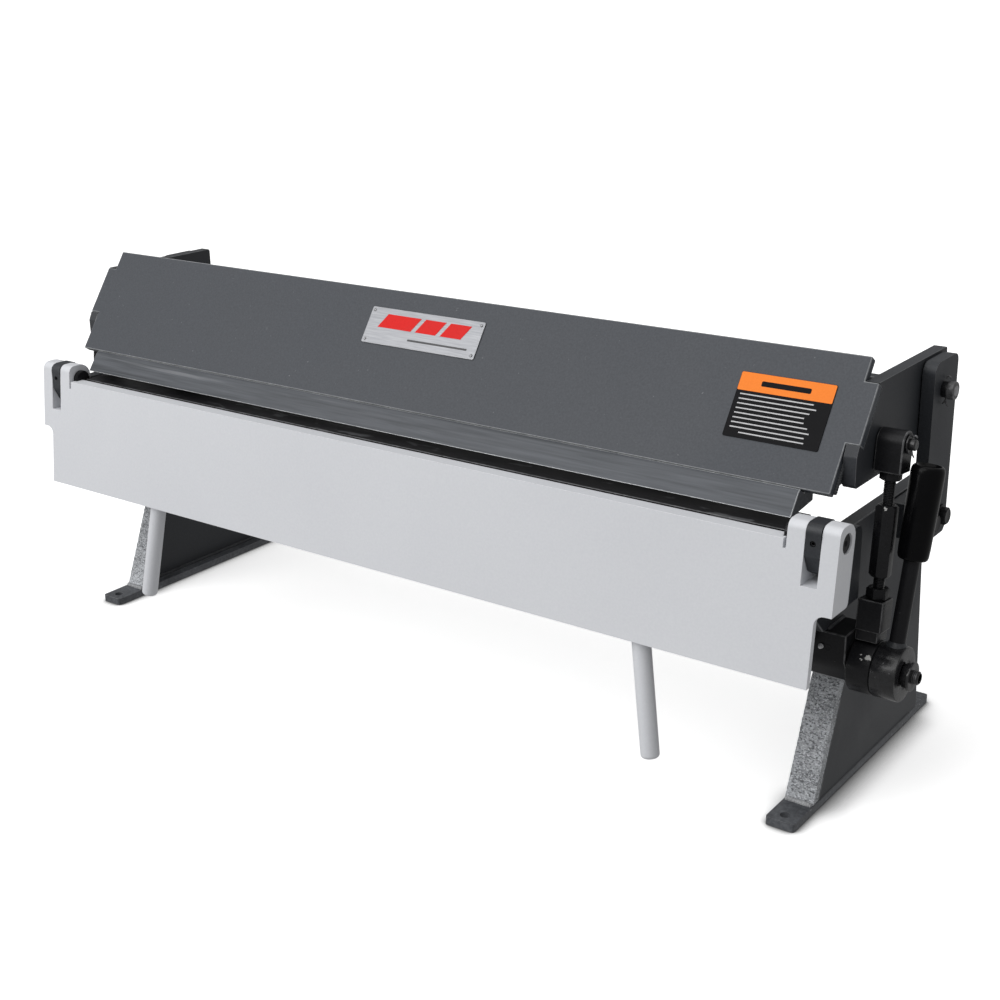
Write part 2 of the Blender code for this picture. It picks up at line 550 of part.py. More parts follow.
def add_beam_ends(pivot):
    """The end plates, the rail between them behind the panel, and the link pins."""
    rail = corners((RAIL_FRONT_Y, RAIL_REAR_Y), (RAIL_BOTTOM_Z, RAIL_TOP_Z))
    half = END_INNER - GAP
    add_piece("beam_back_rail", along_x(rail, -half, half), "dark_grey", pivot)
    for name, side in SIDES:
        bm = along_x(rounded(end_outline(), (0, 0, 3.0, 8.0, 30.0, 4.0, 4.0, 0, 0), 4),
                     END_INNER, END_OUTER, side)
        end = add_piece(f"{name}_end_plate", bm, "dark_grey", pivot)
        reach = (END_INNER - 2, END_OUTER + 2)
        combine(end, cross_rod(side, reach, PIVOT_Y, PIVOT_Z, PIVOT_RADIUS + GAP))
        combine(end, cross_rod(side, reach, LINK_PIN_Y, LINK_PIN_Z, LINK_PIN_RADIUS + GAP))
        head_height = 6.0
        head_x = END_INNER - GAP - head_height
        length = LINK_PIN_END_X - head_x
        profile = [(0.0, LINK_PIN_RADIUS + 3.0), (1.0, LINK_PIN_RADIUS + 4.0),
                   (head_height, LINK_PIN_RADIUS + 4.0), (head_height, LINK_PIN_RADIUS),
                   (length - 1.0, LINK_PIN_RADIUS), (length, LINK_PIN_RADIUS - 1.0)]
        bm = turned(profile, (side * head_x, LINK_PIN_Y, LINK_PIN_Z), (side, 0, 0))
        add_piece(f"{name}_link_pin", bm, "black_steel", pivot, smooth=True)


# ---------------------------------------------------------------- links

def link_axes():
    """The eccentric's centre, and the unit vectors up the link and across it to the rear."""
    foot = Vector((SHAFT_Y, SHAFT_Z + THROW))
    up = (Vector((LINK_PIN_Y, LINK_PIN_Z)) - foot).normalized()
    return foot, up, Vector((up.y, -up.x))


def link_point(a, b):
    """Y and Z of the point b up the link's axis and a behind it."""
    foot, up, across = link_axes()
    return tuple(foot + up * b + across * a)


def link_turned(side, profile, segments=SEGMENTS):
    """A solid turned on the link's own axis, from (height up the link, radius) pairs."""
    _, up, _ = link_axes()
    return turned(profile, (side * LINK_X, *link_point(0.0, 0.0)), (0.0, up.x, up.y), segments)


def add_link_nut(name, side, low, height, corner_radius, origin):
    """A hexagonal lock nut on a stud."""
    slope = 1.0
    profile = [(low, corner_radius - slope), (low + slope / 2, corner_radius),
               (low + height - slope / 2, corner_radius), (low + height, corner_radius - slope)]
    nut = add_piece(name, link_turned(side, profile, 6), "black_steel", origin)
    bore = [(low - 2, STUD_RADIUS + GAP), (low + height + 2, STUD_RADIUS + GAP)]
    combine(nut, link_turned(side, bore))


def add_link(name, side):
    """A link: the eye on the beam's pin, the strap on the eccentric, and the turnbuckle between."""
    origin = (side * LINK_X, LINK_PIN_Y, LINK_PIN_Z)
    eye_height = (Vector((LINK_PIN_Y, LINK_PIN_Z)) - link_axes()[0]).length
    flat = rounded(corners((-LINK_HALF_DEPTH, LINK_HALF_DEPTH),
                           (EYE_BOTTOM, eye_height + LINK_HALF_DEPTH)),
                   (0, 0, LINK_HALF_DEPTH - 0.1, LINK_HALF_DEPTH - 0.1), 6)
    bm = along_x([link_point(a, b) for a, b in flat], LINK_INNER, LINK_OUTER, side)
    eye = add_piece(f"{name}_link_eye", bm, "black_steel", origin)
    combine(eye, cross_rod(side, (LINK_INNER - 2, LINK_OUTER + 2), LINK_PIN_Y, LINK_PIN_Z,
                           LINK_PIN_RADIUS + GAP))
    middle = (BODY_BOTTOM + BODY_TOP) / 2
    combine(eye, link_turned(side, [(middle + 3.0, STUD_RADIUS), (EYE_BOTTOM + 6, STUD_RADIUS)]),
            "UNION")
    add_link_nut(f"{name}_upper_lock_nut", side, EYE_BOTTOM - GAP - NUT_HEIGHT, NUT_HEIGHT,
                 NUT_CORNER, origin)

    body = add_piece(f"{name}_turnbuckle", link_turned(side, [
        (BODY_BOTTOM, BODY_CORNER - 2.0), (BODY_BOTTOM + 2.0, BODY_CORNER),
        (BODY_TOP - 2.0, BODY_CORNER), (BODY_TOP, BODY_CORNER - 2.0)], 6), "black_steel", origin)
    combine(body, link_turned(side, [(BODY_BOTTOM - 2, STUD_RADIUS + 0.5),
                                     (BODY_TOP + 2, STUD_RADIUS + 0.5)]))

    add_link_nut(f"{name}_lower_lock_nut", side, STRAP_TOP + GAP, LOWER_NUT_HEIGHT,
                 LOWER_NUT_CORNER, origin)
    add_strap(name, side, origin, middle - 3.0)


def add_strap(name, side, origin, stud_end):
    """The strap: a ring round the eccentric, a block on it that oversails the hub, and a stud."""
    ring = cross_rod(side, (STRAP_INNER, STRAP_OUTER), SHAFT_Y, SHAFT_Z, STRAP_RADIUS)
    strap = add_piece(f"{name}_strap", ring, "black_steel", origin, smooth=True)
    neck = corners((-LINK_HALF_DEPTH + 0.5, LINK_HALF_DEPTH - 0.5), (8.0, STRAP_SHOULDER + 2.0))
    head = corners((-LINK_HALF_DEPTH, LINK_HALF_DEPTH), (STRAP_SHOULDER, STRAP_TOP))
    neck_x, head_x = (STRAP_INNER + 0.3, STRAP_OUTER - 0.3), (STRAP_INNER - 0.3, LINK_OUTER - 2.0)
    for outline, x_range in ((neck, neck_x), (head, head_x)):
        points = [link_point(a, b) for a, b in outline]
        combine(strap, along_x(points, x_range[0], x_range[1], side), "UNION")
    combine(strap, link_turned(side, [(STRAP_TOP - 6, STUD_RADIUS), (stud_end, STUD_RADIUS)]),
            "UNION")
    bore_y, bore_z = link_point(0.0, 0.0)
    combine(strap, cross_rod(side, (STRAP_INNER - 3, STRAP_OUTER + 3), bore_y, bore_z, STRAP_BORE))


# ---------------------------------------------------------------- clamp levers

def lever_turned(side, profile):
    """A solid turned on the lever's centre line, from (distance from the shaft, radius) pairs."""
    direction = (side * LEVER_SPLAY, math.sin(LEVER_LEAN), math.cos(LEVER_LEAN))
    return turned(profile, (side * (HUB_INNER + HUB_OUTER) / 2, SHAFT_Y, SHAFT_Z), direction)


def add_lever(name, side):
    """The eccentric shaft, the hub and nut on its end, and the lever rod with its grip."""
    shaft_at = (side * SHAFT_INNER_X, SHAFT_Y, SHAFT_Z)
    origin = (side * LINK_X, SHAFT_Y, SHAFT_Z)
    shoulder = HUB_INNER - 0.5 - SHAFT_INNER_X
    length = SPINDLE_END_X - SHAFT_INNER_X
    profile = [(0.0, SHAFT_RADIUS - 1.0), (1.0, SHAFT_RADIUS), (shoulder, SHAFT_RADIUS),
               (shoulder, SPINDLE_RADIUS), (length - 1.5, SPINDLE_RADIUS),
               (length, SPINDLE_RADIUS - 1.5)]
    shaft = add_piece(f"{name}_eccentric_shaft", turned(profile, shaft_at, (side, 0, 0)),
                      "black_steel", origin, smooth=True)
    disc = cross_rod(side, (STRAP_INNER + 0.4, STRAP_OUTER - 0.4), SHAFT_Y, SHAFT_Z + THROW,
                     ECCENTRIC_RADIUS)
    combine(shaft, disc, "UNION")

    width = HUB_OUTER - HUB_INNER
    profile = [(0.0, HUB_RADIUS - 1.5), (1.5, HUB_RADIUS), (width - 1.5, HUB_RADIUS),
               (width, HUB_RADIUS - 1.5)]
    bm = turned(profile, (side * HUB_INNER, SHAFT_Y, SHAFT_Z), (side, 0, 0), 24)
    hub = add_piece(f"{name}_lever_hub", bm, "black_steel", origin, smooth=True)
    combine(hub, cross_rod(side, (HUB_INNER - 2, HUB_OUTER + 2), SHAFT_Y, SHAFT_Z,
                           SPINDLE_RADIUS + GAP))
    combine(hub, lever_turned(side, [(LEVER_START - GAP, LEVER_RADIUS + GAP),
                                     (HUB_RADIUS + 4, LEVER_RADIUS + GAP)]))

    nut_x = HUB_OUTER + GAP
    bm = hex_prism((side * nut_x, SHAFT_Y, SHAFT_Z), (side, 0, 0), 6.0, 11.0)
    nut = add_piece(f"{name}_hub_nut", bm, "black_steel", origin)
    flange = [(5.0, 12.5), (6.0, 13.5), (8.0, 13.5), (9.0, 12.5)]
    combine(nut, turned(flange, (side * nut_x, SHAFT_Y, SHAFT_Z), (side, 0, 0)), "UNION")
    combine(nut, cross_rod(side, (nut_x - 2, nut_x + 13), SHAFT_Y, SHAFT_Z, SPINDLE_RADIUS + GAP))

    bm = lever_turned(side, [(LEVER_START, LEVER_RADIUS), (LEVER_END, LEVER_RADIUS)])
    add_piece(f"{name}_lever_rod", bm, "black_steel", origin, smooth=True)

    end_dome = [(GRIP_END - distance, radius) for distance, radius
                in reversed(dome(GRIP_HEAD_RADIUS, 5.0))]
    profile = [(GRIP_START, GRIP_FOOT_RADIUS - 1.0), (GRIP_START + 1.0, GRIP_FOOT_RADIUS)]
    profile += [(GRIP_END - 12.0, GRIP_HEAD_RADIUS)] + end_dome
    grip = add_piece(f"{name}_grip", lever_turned(side, profile), "grip_black", origin,
                     smooth=True)
    combine(grip, lever_turned(side, [(GRIP_START - 4, LEVER_RADIUS + GAP),
                                      (LEVER_END + 1.0, LEVER_RADIUS + GAP)]))


# ---------------------------------------------------------------- the whole brake

def main():
    for obj in list(bpy.data.objects):
        bpy.data.objects.remove(obj, do_unlink=True)
    for name, side in SIDES:
        add_foot(name, side)
        add_leg(name, side)
        add_bearing_block(name, side)
        add_arm(name, side)
        add_hinge(name, side)
    add_bed()
    add_apron()
    pivot = (0.0, PIVOT_Y, PIVOT_Z)
    add_beam_front(pivot)
    add_beam_ends(pivot)
    for name, side in SIDES:
        add_link(name, side)
        add_lever(name, side)


main()
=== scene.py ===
"""Looks for the bench-top sheet metal brake: fine surfaces, fasteners, welds, paint, light and camera.

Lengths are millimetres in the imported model's frame (X right, Y rear, Z up) until add() turns them
into metres.  Places come from the CAD nodes' boxes and the joints.  side is +1 right, -1 left.
"""
import json
import math

import bmesh
import bpy
from mathutils import Matrix, Vector, noise

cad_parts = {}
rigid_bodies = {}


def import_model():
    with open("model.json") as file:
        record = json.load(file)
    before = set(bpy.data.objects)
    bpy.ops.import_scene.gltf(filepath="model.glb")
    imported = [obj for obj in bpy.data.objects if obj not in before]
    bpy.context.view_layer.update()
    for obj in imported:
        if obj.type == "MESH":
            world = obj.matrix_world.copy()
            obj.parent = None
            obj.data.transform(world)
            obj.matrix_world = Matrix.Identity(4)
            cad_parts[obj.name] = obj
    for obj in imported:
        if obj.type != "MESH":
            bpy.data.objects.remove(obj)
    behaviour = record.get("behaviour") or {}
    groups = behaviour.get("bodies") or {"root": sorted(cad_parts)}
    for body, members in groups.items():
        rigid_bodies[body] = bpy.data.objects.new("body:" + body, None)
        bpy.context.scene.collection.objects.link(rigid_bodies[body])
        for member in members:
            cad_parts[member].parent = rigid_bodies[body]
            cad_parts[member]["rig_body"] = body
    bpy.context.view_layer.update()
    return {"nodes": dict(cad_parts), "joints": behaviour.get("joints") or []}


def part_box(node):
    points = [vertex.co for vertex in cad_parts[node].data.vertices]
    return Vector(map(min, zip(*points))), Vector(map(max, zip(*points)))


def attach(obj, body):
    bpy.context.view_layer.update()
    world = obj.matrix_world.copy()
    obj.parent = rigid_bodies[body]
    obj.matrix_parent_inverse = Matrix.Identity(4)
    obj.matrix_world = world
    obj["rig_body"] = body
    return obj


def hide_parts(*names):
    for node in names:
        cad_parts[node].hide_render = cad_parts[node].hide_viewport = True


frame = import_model()

MM = 0.001
SIDES = (("left", -1), ("right", 1))
JOINTS = {joint["name"]: joint for joint in frame["joints"]}

# Sizes shared with the CAD, along the link from the middle of its turnbuckle
BODY_HALF = 32.7
EYE_BOTTOM, UPPER_NUT_HEIGHT = 62.3, 7.0
STRAP_TOP, STRAP_SHOULDER, LOWER_NUT_HEIGHT = -53.2, -82.2, 10.0
ECCENTRIC_DROP = 112.2
LINK_HALF_DEPTH = 11.5
STUD_RADIUS = 5.0
SHAFT_Y, SHAFT_Z = -69.6, 150.5
HUB_INNER, HUB_OUTER, HUB_RADIUS = 519.7, 543.0, 25.2
STRAP_INNER, STRAP_OUTER, STRAP_HEAD_OUTER = 497.5, 519.2, 521.0
STRAP_RADIUS, STRAP_BORE = 25.2, 17.6
LEVER_LEAN, LEVER_SPLAY = math.radians(9.5), 7.4 / 190.0
PANEL_SLOPE = math.radians(55.0)
PANEL_FOOT = Vector((0.0, -117.9, 321.8))

# The camera: its place in metres, its turn in degrees and its lens in millimetres
CAMERA_PLACE = Vector((0.98725, -1.25125, 0.75079))
CAMERA_YAW, CAMERA_PITCH, CAMERA_ROLL = 36.8882, -19.5083, -1.1054
CAMERA_LENS = 54.778


# ---------------------------------------------------------------- places

def span(node):
    """A CAD node's lowest and highest corners in millimetres."""
    low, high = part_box(node)
    return low / MM, high / MM


def reach_of(node):
    """How far a CAD node's inner and outer faces are from the middle plane."""
    low, high = span(node)
    return sorted((abs(low.x), abs(high.x)))


def joint_point(name):
    """Where a joint's axis is, in millimetres."""
    return Vector(JOINTS[name]["pos_m"]) / MM


# ---------------------------------------------------------------- materials

def new_graph(name):
    """An empty material with its node tree and its Principled shader."""
    made = bpy.data.materials.new(name)
    made.use_nodes = True
    return made, made.node_tree, made.node_tree.nodes["Principled BSDF"]


def connect(tree, socket, value):
    """Give an input a plain value or link it to another node's output."""
    if isinstance(value, bpy.types.NodeSocket):
        tree.links.new(value, socket)
    else:
        socket.default_value = value


def add_node(tree, kind, inputs=None, **settings):
    """A shader node with its settings and its inputs' values or links."""
    made = tree.nodes.new(kind)
    for key, value in settings.items():
        setattr(made, key, value)
    for key, value in (inputs or {}).items():
        connect(tree, made.inputs[key], value)
    return made


def coordinates(tree, stretch=(1.0, 1.0, 1.0)):
    """The object's own coordinates in metres, stretched for brushed or drawn surfaces."""
    source = add_node(tree, "ShaderNodeTexCoord").outputs["Object"]
    return add_node(tree, "ShaderNodeMapping", {"Vector": source, "Scale": stretch}).outputs["Vector"]


def noise_field(tree, where, scale, detail=3.0, distortion=0.0):
    """A noise value from 0 to 1."""
    made = add_node(tree, "ShaderNodeTexNoise", {"Vector": where, "Scale": scale,
                                                 "Detail": detail, "Distortion": distortion})
    return made.outputs["Fac"]


def remap(tree, field, low, high, to_low=0.0, to_high=1.0):
    """The part of a field between low and high, spread from to_low to to_high."""
    made = add_node(tree, "ShaderNodeMapRange", {"Value": field, "From Min": low, "From Max": high,
                                                 "To Min": to_low, "To Max": to_high})
    return made.outputs["Result"]


def mixed(tree, field, first, second):
    """A colour between first and second; each input is a value or another node's output."""
    made = add_node(tree, "ShaderNodeMix", {"Factor": field}, data_type="RGBA")
    for key, value in (("A", first), ("B", second)):
        socket = [s for s in made.inputs if s.name == key and s.type == "RGBA"][0]
        connect(tree, socket, (*value, 1.0) if isinstance(value, tuple) else value)
    return [s for s in made.outputs if s.type == "RGBA"][0]


def surface(name, dark, light, rough, grain=700.0, cloud=7.0, stretch=(1.0, 1.0, 1.0),
            metallic=0.0, bump=0.0, bump_scale=900.0, specks=None, scuffs=None, gloss=0.5):
    """A painted or bare metal surface.

    Fine grain and wide clouds vary the colour between dark and light, and the clouds the
    roughness between the two values of rough.  specks and scuffs are (threshold, scale, colour).
    """
    made, tree, shader = new_graph(name)
    where = coordinates(tree, stretch)
    fine = noise_field(tree, where, grain, 4.0)
    wide = noise_field(tree, where, cloud, 3.0, 0.6)
    colour = mixed(tree, remap(tree, fine, 0.32, 0.68), dark, light)
    shade = mixed(tree, remap(tree, wide, 0.3, 0.7), dark, light)
    colour = mixed(tree, 0.5, colour, shade)
    for extra in (specks, scuffs):
        if extra:
            threshold, scale, tint = extra
            field = noise_field(tree, where, scale, 5.0, 0.3)
            colour = mixed(tree, remap(tree, field, threshold, threshold + 0.05), colour, tint)
    tree.links.new(colour, shader.inputs["Base Color"])
    tree.links.new(remap(tree, wide, 0.25, 0.75, rough[0], rough[1]), shader.inputs["Roughness"])
    shader.inputs["Metallic"].default_value = metallic
    shader.inputs["Specular IOR Level"].default_value = gloss
    if bump:
        height = noise_field(tree, where, bump_scale, 4.0)
        relief = add_node(tree, "ShaderNodeBump",
                          {"Height": height, "Strength": 1.0, "Distance": bump * MM})
        tree.links.new(relief.outputs["Normal"], shader.inputs["Normal"])
    return made


def chipped(made, spots):
    """Pale paint chips on a material: (x, y, z, radius) in millimetres, each with a ragged edge."""
    tree = made.node_tree
    shader = tree.nodes["Principled BSDF"]
    under = shader.inputs["Base Color"].links[0].from_socket
    where = coordinates(tree)
    waver = 6.0 * MM
    ragged = add_node(tree, "ShaderNodeTexNoise", {"Vector": where, "Scale": 420.0, "Detail": 3.0})

    def combined(operation, inputs, output="Vector"):
        return add_node(tree, "ShaderNodeVectorMath", inputs, operation=operation).outputs[output]

    shift = combined("SUBTRACT", {0: ragged.outputs["Color"], 1: (0.5, 0.5, 0.5)})
    moved = combined("ADD", {0: where, 1: combined("SCALE", {0: shift, "Scale": waver})})
    for x, y, z, radius in spots:
        gap = combined("DISTANCE", {0: moved, 1: (x * MM, y * MM, z * MM)}, "Value")
        field = remap(tree, gap, radius * MM, radius * 0.8 * MM)
        under = mixed(tree, field, under, (0.62, 0.62, 0.6))
    tree.links.new(under, shader.inputs["Base Color"])
    return made


PANEL = surface("panel_paint", (0.036, 0.041, 0.050), (0.063, 0.069, 0.081), (0.44, 0.6),
                grain=520.0, cloud=5.0, bump=0.06, bump_scale=650.0, gloss=0.4,
                specks=(0.72, 260.0, (0.17, 0.175, 0.185)), scuffs=(0.74, 55.0, (0.095, 0.1, 0.11)))
# Lighter colour for the panel's rounded edges: partly wear, partly a painted edge highlight.
PANEL_EDGE_WEAR_AND_HIGHLIGHT = surface("panel_edge_wear_and_highlight", (0.13, 0.135, 0.145), (0.30, 0.31, 0.32), (0.35, 0.5),
                     grain=300.0, cloud=40.0)
NOSE = surface("nose_ground_steel", (0.035, 0.039, 0.045), (0.10, 0.107, 0.12), (0.34, 0.52),
               grain=420.0, cloud=90.0, stretch=(0.035, 1.0, 1.0), metallic=0.2, bump=0.03,
               bump_scale=500.0, gloss=0.35, scuffs=(0.66, 60.0, (0.15, 0.156, 0.168)))
# Bright colour for the nose bar's rounded edges: partly bare worn steel, partly a painted edge
# highlight.
NOSE_EDGE_WEAR_AND_HIGHLIGHT = surface("nose_edge_wear_and_highlight", (0.25, 0.26, 0.27), (0.5, 0.51, 0.52), (0.25, 0.4),
                    grain=300.0, cloud=60.0, metallic=0.6)
FRAME = surface("frame_paint", (0.017, 0.019, 0.023), (0.035, 0.038, 0.044), (0.4, 0.6),
                grain=600.0, cloud=9.0, bump=0.05, gloss=0.4,
                specks=(0.74, 330.0, (0.12, 0.122, 0.13)))
# Lighter colour for the frame's rounded edges: partly wear, partly a painted edge highlight.
FRAME_EDGE_WEAR_AND_HIGHLIGHT = surface("frame_edge_wear_and_highlight", (0.045, 0.048, 0.053), (0.19, 0.195, 0.2), (0.35, 0.5),
                     grain=220.0, cloud=45.0)
# Rough cast skin: its wide dark-to-light grain, pale specks and dark flecks are partly its own mottle
# and partly painted glints and shade on the rough surface.
CAST = surface("leg_cast", (0.085, 0.09, 0.098), (0.60, 0.62, 0.65), (0.42, 0.6),
               grain=330.0, cloud=60.0, bump=1.4, bump_scale=420.0, stretch=(0.6, 1.0, 1.0),
               specks=(0.54, 900.0, (0.62, 0.64, 0.67)), scuffs=(0.55, 760.0, (0.1, 0.105, 0.113)))
FOOT = surface("foot_paint", (0.033, 0.036, 0.042), (0.13, 0.136, 0.148), (0.45, 0.65),
               grain=300.0, cloud=25.0, bump=0.25, bump_scale=300.0,
               specks=(0.68, 240.0, (0.3, 0.31, 0.32)))
APRON = surface("apron_paint", (0.66, 0.672, 0.705), (0.715, 0.727, 0.755), (0.34, 0.46),
                grain=420.0, cloud=4.0, bump=0.035, bump_scale=380.0,
                specks=(0.80, 120.0, (0.5, 0.5, 0.51)))
# Lighter colour for the apron's rounded edges: partly wear, partly a painted edge highlight.
APRON_EDGE_WEAR_AND_HIGHLIGHT = surface("apron_edge_wear_and_highlight", (0.69, 0.70, 0.72), (0.78, 0.79, 0.81), (0.3, 0.42),
                     grain=300.0, cloud=30.0)
BLACK = surface("black_enamel", (0.006, 0.006, 0.007), (0.014, 0.014, 0.016), (0.26, 0.42),
                grain=500.0, cloud=30.0, bump=0.06, bump_scale=420.0, gloss=0.17,
                specks=(0.72, 260.0, (0.13, 0.13, 0.135)))
# Glossy black for the hub, pins and threads; its pale specks are painted glints.
OILED = surface("oiled_black", (0.004, 0.004, 0.005), (0.022, 0.022, 0.024), (0.16, 0.34),
                grain=300.0, cloud=60.0, bump=0.12, bump_scale=260.0, gloss=0.5,
                specks=(0.68, 240.0, (0.12, 0.12, 0.125)))
# A lighter, worn black for small parts; on rounded edges it is partly wear and partly a painted edge
# highlight.
BLACK_WEAR_AND_EDGE_HIGHLIGHT = surface("black_wear_and_edge_highlight", (0.015, 0.015, 0.017), (0.17, 0.17, 0.175), (0.3, 0.45),
                     grain=260.0, cloud=70.0, metallic=0.3)
JAW = surface("jaw_black", (0.004, 0.004, 0.005), (0.014, 0.014, 0.016), (0.35, 0.55),
              grain=400.0, cloud=30.0, bump=0.05, gloss=0.2, stretch=(0.35, 1.0, 1.0),
              scuffs=(0.59, 70.0, (0.085, 0.087, 0.092)))
STEEL = surface("bare_steel", (0.18, 0.18, 0.185), (0.42, 0.42, 0.43), (0.28, 0.45),
                grain=500.0, cloud=60.0, metallic=0.9)
GRIP = surface("grip_gloss", (0.0015, 0.0015, 0.0018), (0.003, 0.003, 0.0035), (0.18, 0.28),
               grain=300.0, cloud=25.0, gloss=0.1)
SILVER = surface("plate_brushed", (0.21, 0.215, 0.23), (0.37, 0.376, 0.395), (0.34, 0.46),
                 grain=900.0, cloud=60.0, stretch=(0.05, 1.0, 1.0), metallic=0.55)
RED = surface("plate_red", (0.66, 0.010, 0.008), (0.76, 0.014, 0.011), (0.4, 0.5),
              grain=600.0, cloud=40.0, gloss=0.15)
INK = surface("plate_ink", (0.02, 0.02, 0.022), (0.04, 0.04, 0.044), (0.35, 0.45), grain=600.0)
ORANGE = surface("label_orange", (0.93, 0.225, 0.02), (1.0, 0.26, 0.03), (0.4, 0.5),
                 grain=600.0, cloud=30.0, gloss=0.15)
LABEL_BLACK = surface("label_black", (0.003, 0.003, 0.004), (0.006, 0.006, 0.007), (0.5, 0.6),
                      grain=600.0, cloud=30.0, gloss=0.1)
LABEL_PALE = surface("label_pale", (0.42, 0.42, 0.43), (0.62, 0.62, 0.63), (0.4, 0.5),
                     grain=600.0, cloud=60.0)
WELD = surface("weld_painted", (0.018, 0.02, 0.023), (0.045, 0.048, 0.053), (0.35, 0.55),
               grain=500.0, cloud=60.0, bump=0.1, bump_scale=700.0)
WELD_PALE = surface("weld_pale", (0.2, 0.2, 0.21), (0.5, 0.51, 0.52), (0.45, 0.6),
                    grain=500.0, cloud=90.0, bump=0.2, bump_scale=700.0)


# ---------------------------------------------------------------- building blocks

def add(name, bm, body, materials, smooth=True, stands_for=()):
    """Turn a bmesh in millimetres into a piece in metres that rides on a body."""
    bmesh.ops.recalc_face_normals(bm, faces=bm.faces)
    bmesh.ops.scale(bm, vec=(MM, MM, MM), verts=bm.verts)
    mesh = bpy.data.meshes.new(name)
    bm.to_mesh(mesh)
    bm.free()
    piece = bpy.data.objects.new(name, mesh)
    bpy.context.collection.objects.link(piece)
    for material in materials:
        mesh.materials.append(material)
    if smooth:
        mesh.shade_smooth()
        mesh.set_sharp_from_angle(angle=math.radians(32.0))
    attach(piece, body)
    if stands_for:
        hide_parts(*stands_for)
    return piece


def soften_edges(piece, width, segments=3):
    """Round a piece's edges and paint the rounded strips with its second material, a lighter colour
    that is partly wear and partly a painted highlight.
    """
    bevel = piece.modifiers.new("edges", "BEVEL")
    bevel.width = width * MM
    bevel.segments = segments
    bevel.limit_method = "ANGLE"
    bevel.angle_limit = math.radians(38.0)
    bevel.harden_normals = False
    # The rounded strips take the lighter second material: partly wear, partly a painted edge
    # highlight.
    bevel.material = 1 if len(piece.data.materials) > 1 else -1
    normals = piece.modifiers.new("normals", "WEIGHTED_NORMAL")
    normals.keep_sharp = False
    return piece


def cad_copy(node):
    """A CAD node's mesh in millimetres with its seams welded."""
    bm = bmesh.new()
    bm.from_mesh(frame["nodes"][node].data)
    bmesh.ops.scale(bm, vec=(1 / MM,) * 3, verts=bm.verts)
    bmesh.ops.remove_doubles(bm, verts=bm.verts, dist=0.02)
    return bm


def refined(node, width, materials=(FRAME, FRAME_EDGE_WEAR_AND_HIGHLIGHT)):
    """A CAD node remade with softly rounded edges, painted lighter: partly wear, partly a painted
    highlight.
    """
    bm = cad_copy(node)
    bmesh.ops.dissolve_limit(bm, angle_limit=math.radians(0.6), verts=bm.verts, edges=bm.edges)
    body = frame["nodes"][node]["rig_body"]
    piece = add(f"{node}_fine", bm, body, materials, stands_for=(node,))
    return soften_edges(piece, width)


def frame_of(direction):
    """A unit axis and two unit vectors across it."""
    axis = Vector(direction).normalized()
    helper = Vector((0, 0, 1)) if abs(axis.x) > 0.9 else Vector((1, 0, 0))
    first = (helper - axis * helper.dot(axis)).normalized()
    return axis, first, axis.cross(first)


def lathe(profile, start, direction, segments=56, closed=False):
    """A turned solid from (distance, radius) pairs along a line; closed joins the last to the first.

    A third value of 6 makes that ring a hexagon whose flats are at the radius.
    """
    axis, first, second = frame_of(direction)
    bm = bmesh.new()
    rings = []
    for entry in profile:
        distance, radius = entry[0], entry[1]
        ring = []
        for index in range(segments):
            angle = math.tau * index / segments
            reach = radius
            if len(entry) > 2:
                reach = radius / math.cos((angle + math.pi / 6) % (math.pi / 3) - math.pi / 6)
            spoke = first * math.cos(angle) + second * math.sin(angle)
            ring.append(bm.verts.new(Vector(start) + axis * distance + spoke * reach))
        rings.append(ring)
    pairs = list(zip(rings, rings[1:]))
    if closed:
        pairs.append((rings[-1], rings[0]))
    else:
        bm.faces.new(rings[0])
        bm.faces.new(rings[-1])
    for lower, upper in pairs:
        for index in range(segments):
            following = (index + 1) % segments
            bm.faces.new((lower[index], lower[following], upper[following], upper[index]))
    return bm


def rounded_profile(points, radius, steps=3, closed=False):
    """A turned profile with its corners eased."""
    result = []
    count = len(points)
    for index, point in enumerate(points):
        corner = Vector(point)
        if not closed and index in (0, count - 1):
            result.append(tuple(corner))
            continue
        before = Vector(points[index - 1]) - corner
        after = Vector(points[(index + 1) % count]) - corner
        cut = min(radius, before.length * 0.45, after.length * 0.45)
        start, end = corner + before.normalized() * cut, corner + after.normalized() * cut
        for step in range(steps + 1):
            t = step / steps
            result.append(tuple(start * (1 - t) ** 2 + corner * 2 * t * (1 - t) + end * t ** 2))
    return result


def turned(name, profile, start, direction, body, material, segments=56, closed=False,
           stands_for=()):
    """A turned piece in one material."""
    bm = lathe(profile, start, direction, segments, closed)
    return add(name, bm, body, (material,), stands_for=stands_for)


def prism(outline, low, high, place):
    """A flat outline drawn out from low to high; place turns (a, b, depth) into X, Y, Z."""
    bm = bmesh.new()
    near = [bm.verts.new(place(a, b, low)) for a, b in outline]
    far = [bm.verts.new(place(a, b, high)) for a, b in outline]
    bm.faces.new(near)
    bm.faces.new(far)
    for index in range(len(outline)):
        following = (index + 1) % len(outline)
        bm.faces.new((near[index], near[following], far[following], far[index]))
    return bm


def arc(centre, radius, start, end, steps=12):
    """Points of an arc, with its angles in degrees."""
    result = []
    for step in range(steps + 1):
        angle = math.radians(start + (end - start) * step / steps)
        result.append((centre[0] + radius * math.cos(angle), centre[1] + radius * math.sin(angle)))
    return result


def rounded_rectangle(a_range, b_range, radius):
    """A rectangle's outline with round corners."""
    (a0, a1), (b0, b1) = a_range, b_range
    outline = []
    for centre, start in (((a1 - radius, b1 - radius), 0), ((a0 + radius, b1 - radius), 90),
                          ((a0 + radius, b0 + radius), 180), ((a1 - radius, b0 + radius), 270)):
        outline += arc(centre, radius, start, start + 90, 5)
    return outline


